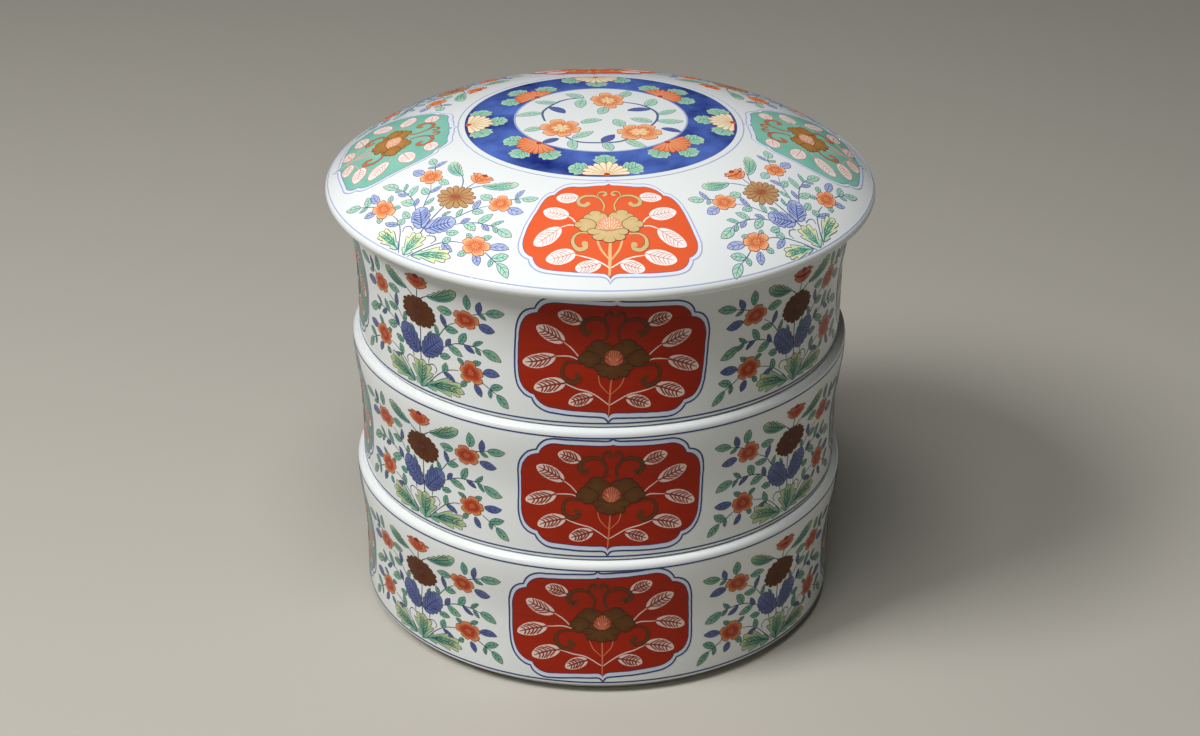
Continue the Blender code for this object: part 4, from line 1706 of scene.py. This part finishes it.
def lay(body, coats, tree, sizes, copies, pieces, swaps):
    """Lays each coat of a drawing on its body and files the meshes under their pigments."""
    for pigment, coat in coats.items():
        name = body + "_" + pigment
        finish = PIGMENTS[swaps.get(pigment, pigment)]
        values = dict(sizes, Copies=copies, Finish=finish)
        pieces.setdefault(pigment, []).append(grown(name, coat.mesh(name), tree, values))


def lay_rings(name, body, sections, height, pigment):
    """Painted lines or a band all round a body, of even thickness."""
    meshes = []
    for section in sections:
        mesh = turned(name, section, height, PIGMENTS[pigment], closed=True)
        meshes.append(mark(mesh, "tone", [EVEN_TONE] * len(mesh.vertices)))
    settle(name, meshes, body)


def ring_lines(body, over, lines, height, pigment):
    """Fine cobalt lines all round a body."""
    sections = []
    for middle, width in lines:
        sections.append(painted_ring(over, middle - width / 2.0, middle + width / 2.0, BLADE))
    lay_rings(body + "_ring_lines", body, sections, height, pigment)


def box(name, chance):
    """One box of the stack with its painting."""
    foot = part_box(name)[0].z / MM
    porcelain(name, box_section(), foot, RING_RADIUS - FOOT_WIDTH, RING_RADIUS, BARE_FOOT)
    ring_lines(name, over_wall, BOX_LINES, foot, "border")

    pen = fresh_pen(chance)
    around(pen, WALL_SCALE_RADIUS, WALL_PANEL, HANDS[name], WALL_SPRAY)
    unsteady(pen.coats, foot)
    sizes = {
        "Scale Radius": WALL_SCALE_RADIUS * MM,
        "Wall Radius": WALL_RADIUS * MM,
        "Flare Width": FLARE_WIDTH * MM,
        "Flare Height": FLARE_HEIGHT * MM,
        "Line Height": LINE_HEIGHT * MM,
        "Foot Height": foot * MM,
        "Turn": math.radians(TURNS[name]),
    }
    pieces = {}
    lay(name, pen.coats, WALL_PAINTING, sizes, HALF_ROUND, pieces, {})
    for pigment, meshes in pieces.items():
        settle(name + "_" + pigment, meshes, name)


def from_above(x, y):
    """Where a point of the medallion, drawn as seen from above, lies in a drawing for the dome."""
    return math.atan2(x, -y) * DOME_SCALE_RADIUS, DOME_ORIGIN - math.hypot(x, y)


def lid(chance):
    """The domed lid with its painting and the medallion on its crown."""
    porcelain("lid", lid_section(), LID_SEAT, RING_RADIUS - CLOSE, RING_RADIUS + SEAT_WIDTH, BARE_SEAT)
    # The lid's lines take the lighter copy of the border line, as painted light
    ring_lines("lid", over_dome, LID_LINES, LID_SEAT, "pale_border")
    ground = painted_ring(over_dome, MEDALLION_RADIUS, BAND_RADIUS, FIELD, BAND_STEPS)
    lay_rings("lid_cobalt_band", "lid", [ground], LID_SEAT, "cobalt_band")

    pen = fresh_pen(chance)
    around(pen, DOME_SCALE_RADIUS, DOME_PANEL, HANDS["lid"], LID_SPRAY, lid_spray_place, LID_SPRAY_SIZE)
    unsteady(pen.coats, LID_SEAT)
    sizes = {
        "Scale Radius": DOME_SCALE_RADIUS * MM,
        "Origin Radius": DOME_ORIGIN * MM,
        "Dome Radius": DOME_RADIUS * MM,
        "Dome Rise": DOME_RISE * MM,
        "Crown Height": (LID_SEAT + LID_HEIGHT) * MM,
        "Flatness": DOME_FLATNESS,
        "Power": DOME_POWER,
        "Turn": math.radians(TURNS["lid"]),
    }
    pieces = {}
    # The lid's coats take the lighter copies of the pigments, as painted light
    lay("lid", pen.coats, DOME_PAINTING, sizes, HALF_ROUND, pieces, LID_PIGMENTS)
    for copies, draw in ((1, crown), (QUARTER_ROUND, edge_blooms)):
        pen = fresh_pen(chance)
        draw(pen)
        unsteady(pen.coats, LID_SEAT)
        for coat in pen.coats.values():
            coat.points = [(*from_above(x, y), h) for x, y, h in coat.points]
        lay("lid", pen.coats, DOME_PAINTING, sizes, copies, pieces, LID_PIGMENTS)
    for pigment, meshes in pieces.items():
        settle("lid_" + pigment, meshes, "lid")


chance = random.Random(SEED)
noise.seed_set(SEED)
for tier in TIERS:
    box(tier, chance)
lid(chance)


# Camera, lights and floor

# The photograph's camera: millimetres, degrees, and the lens's shift as a share of the frame's width
TARGET_HEIGHT = 65.9
CAMERA_DISTANCE = 877.7
CAMERA_PITCH = 27.55
CAMERA_ROLL = 0.457
FOCAL_LENGTH = 76.97
SHIFT = (0.0011, 0.0275)

# In metres, and colours from 0 to 255
NEAREST_SEEN = 0.05
LAMP_AIM = 0.08                                # height that the lamps look at
FLOOR_SIZE = 24.0
FLOOR_COLOUR = (190, 186, 176)
FLOOR_ROUGHNESS = 0.8
ROOM_COLOUR = (38, 36, 31)


def photo_camera():
    """The photograph's own view, which looks down on the stack from the front."""
    data = bpy.data.cameras.new("photo_camera")
    data.lens = FOCAL_LENGTH
    data.shift_x, data.shift_y = SHIFT
    data.clip_start = NEAREST_SEEN
    camera = bpy.data.objects.new("photo_camera", data)
    pitch = math.radians(CAMERA_PITCH)
    back = CAMERA_DISTANCE * MM
    camera.location = (0.0, -back * math.cos(pitch), TARGET_HEIGHT * MM + back * math.sin(pitch))
    look = Matrix.Rotation(math.pi / 2.0 - pitch, 4, "X") @ Matrix.Rotation(math.radians(CAMERA_ROLL), 4, "Z")
    camera.rotation_euler = look.to_euler()
    bpy.context.scene.collection.objects.link(camera)
    bpy.context.scene.camera = camera


def softbox(name, bearing, height_angle, distance, size, power, mirrored=True):
    """A square soft lamp that looks at the stack from a bearing, to the right of the camera's, and a height.

    One that isn't mirrored lights the stack without showing its own edges in the glaze.
    """
    around_it = math.radians(bearing)
    above = math.radians(height_angle)
    aim = Vector((0.0, 0.0, LAMP_AIM))
    level = math.cos(above)
    away = Vector((math.sin(around_it) * level, -math.cos(around_it) * level, math.sin(above)))
    data = bpy.data.lights.new(name, "AREA")
    data.shape = "SQUARE"
    data.size = size
    data.energy = power
    lamp = bpy.data.objects.new(name, data)
    lamp.visible_glossy = mirrored
    lamp.location = aim + away * distance
    lamp.rotation_euler = away.to_track_quat("Z", "Y").to_euler()
    bpy.context.scene.collection.objects.link(lamp)


def studio():
    """A pale floor, a soft lamp on the left that throws the lid's shadow and a broad one overhead."""
    bpy.ops.mesh.primitive_plane_add(size=FLOOR_SIZE)
    floor = bpy.context.active_object
    floor.name = "floor"
    material = bpy.data.materials.new("pale_floor")
    material.use_nodes = True
    shader = material.node_tree.nodes["Principled BSDF"]
    shader.inputs["Base Color"].default_value = linear(*FLOOR_COLOUR)
    shader.inputs["Roughness"].default_value = FLOOR_ROUGHNESS
    floor.data.materials.append(material)

    softbox("left_softbox", bearing=-58.0, height_angle=50.0, distance=1.3, size=0.42, power=12.1)
    softbox("overhead_softbox", bearing=-10.0, height_angle=70.0, distance=1.1, size=0.5, power=5.3,
            mirrored=False)

    world = bpy.data.worlds.new("studio")
    world.use_nodes = True
    room = world.node_tree.nodes["Background"]
    room.inputs["Color"].default_value = linear(*ROOM_COLOUR)
    bpy.context.scene.world = world


photo_camera()
studio()
bpy.context.scene.view_settings.view_transform = "Standard"
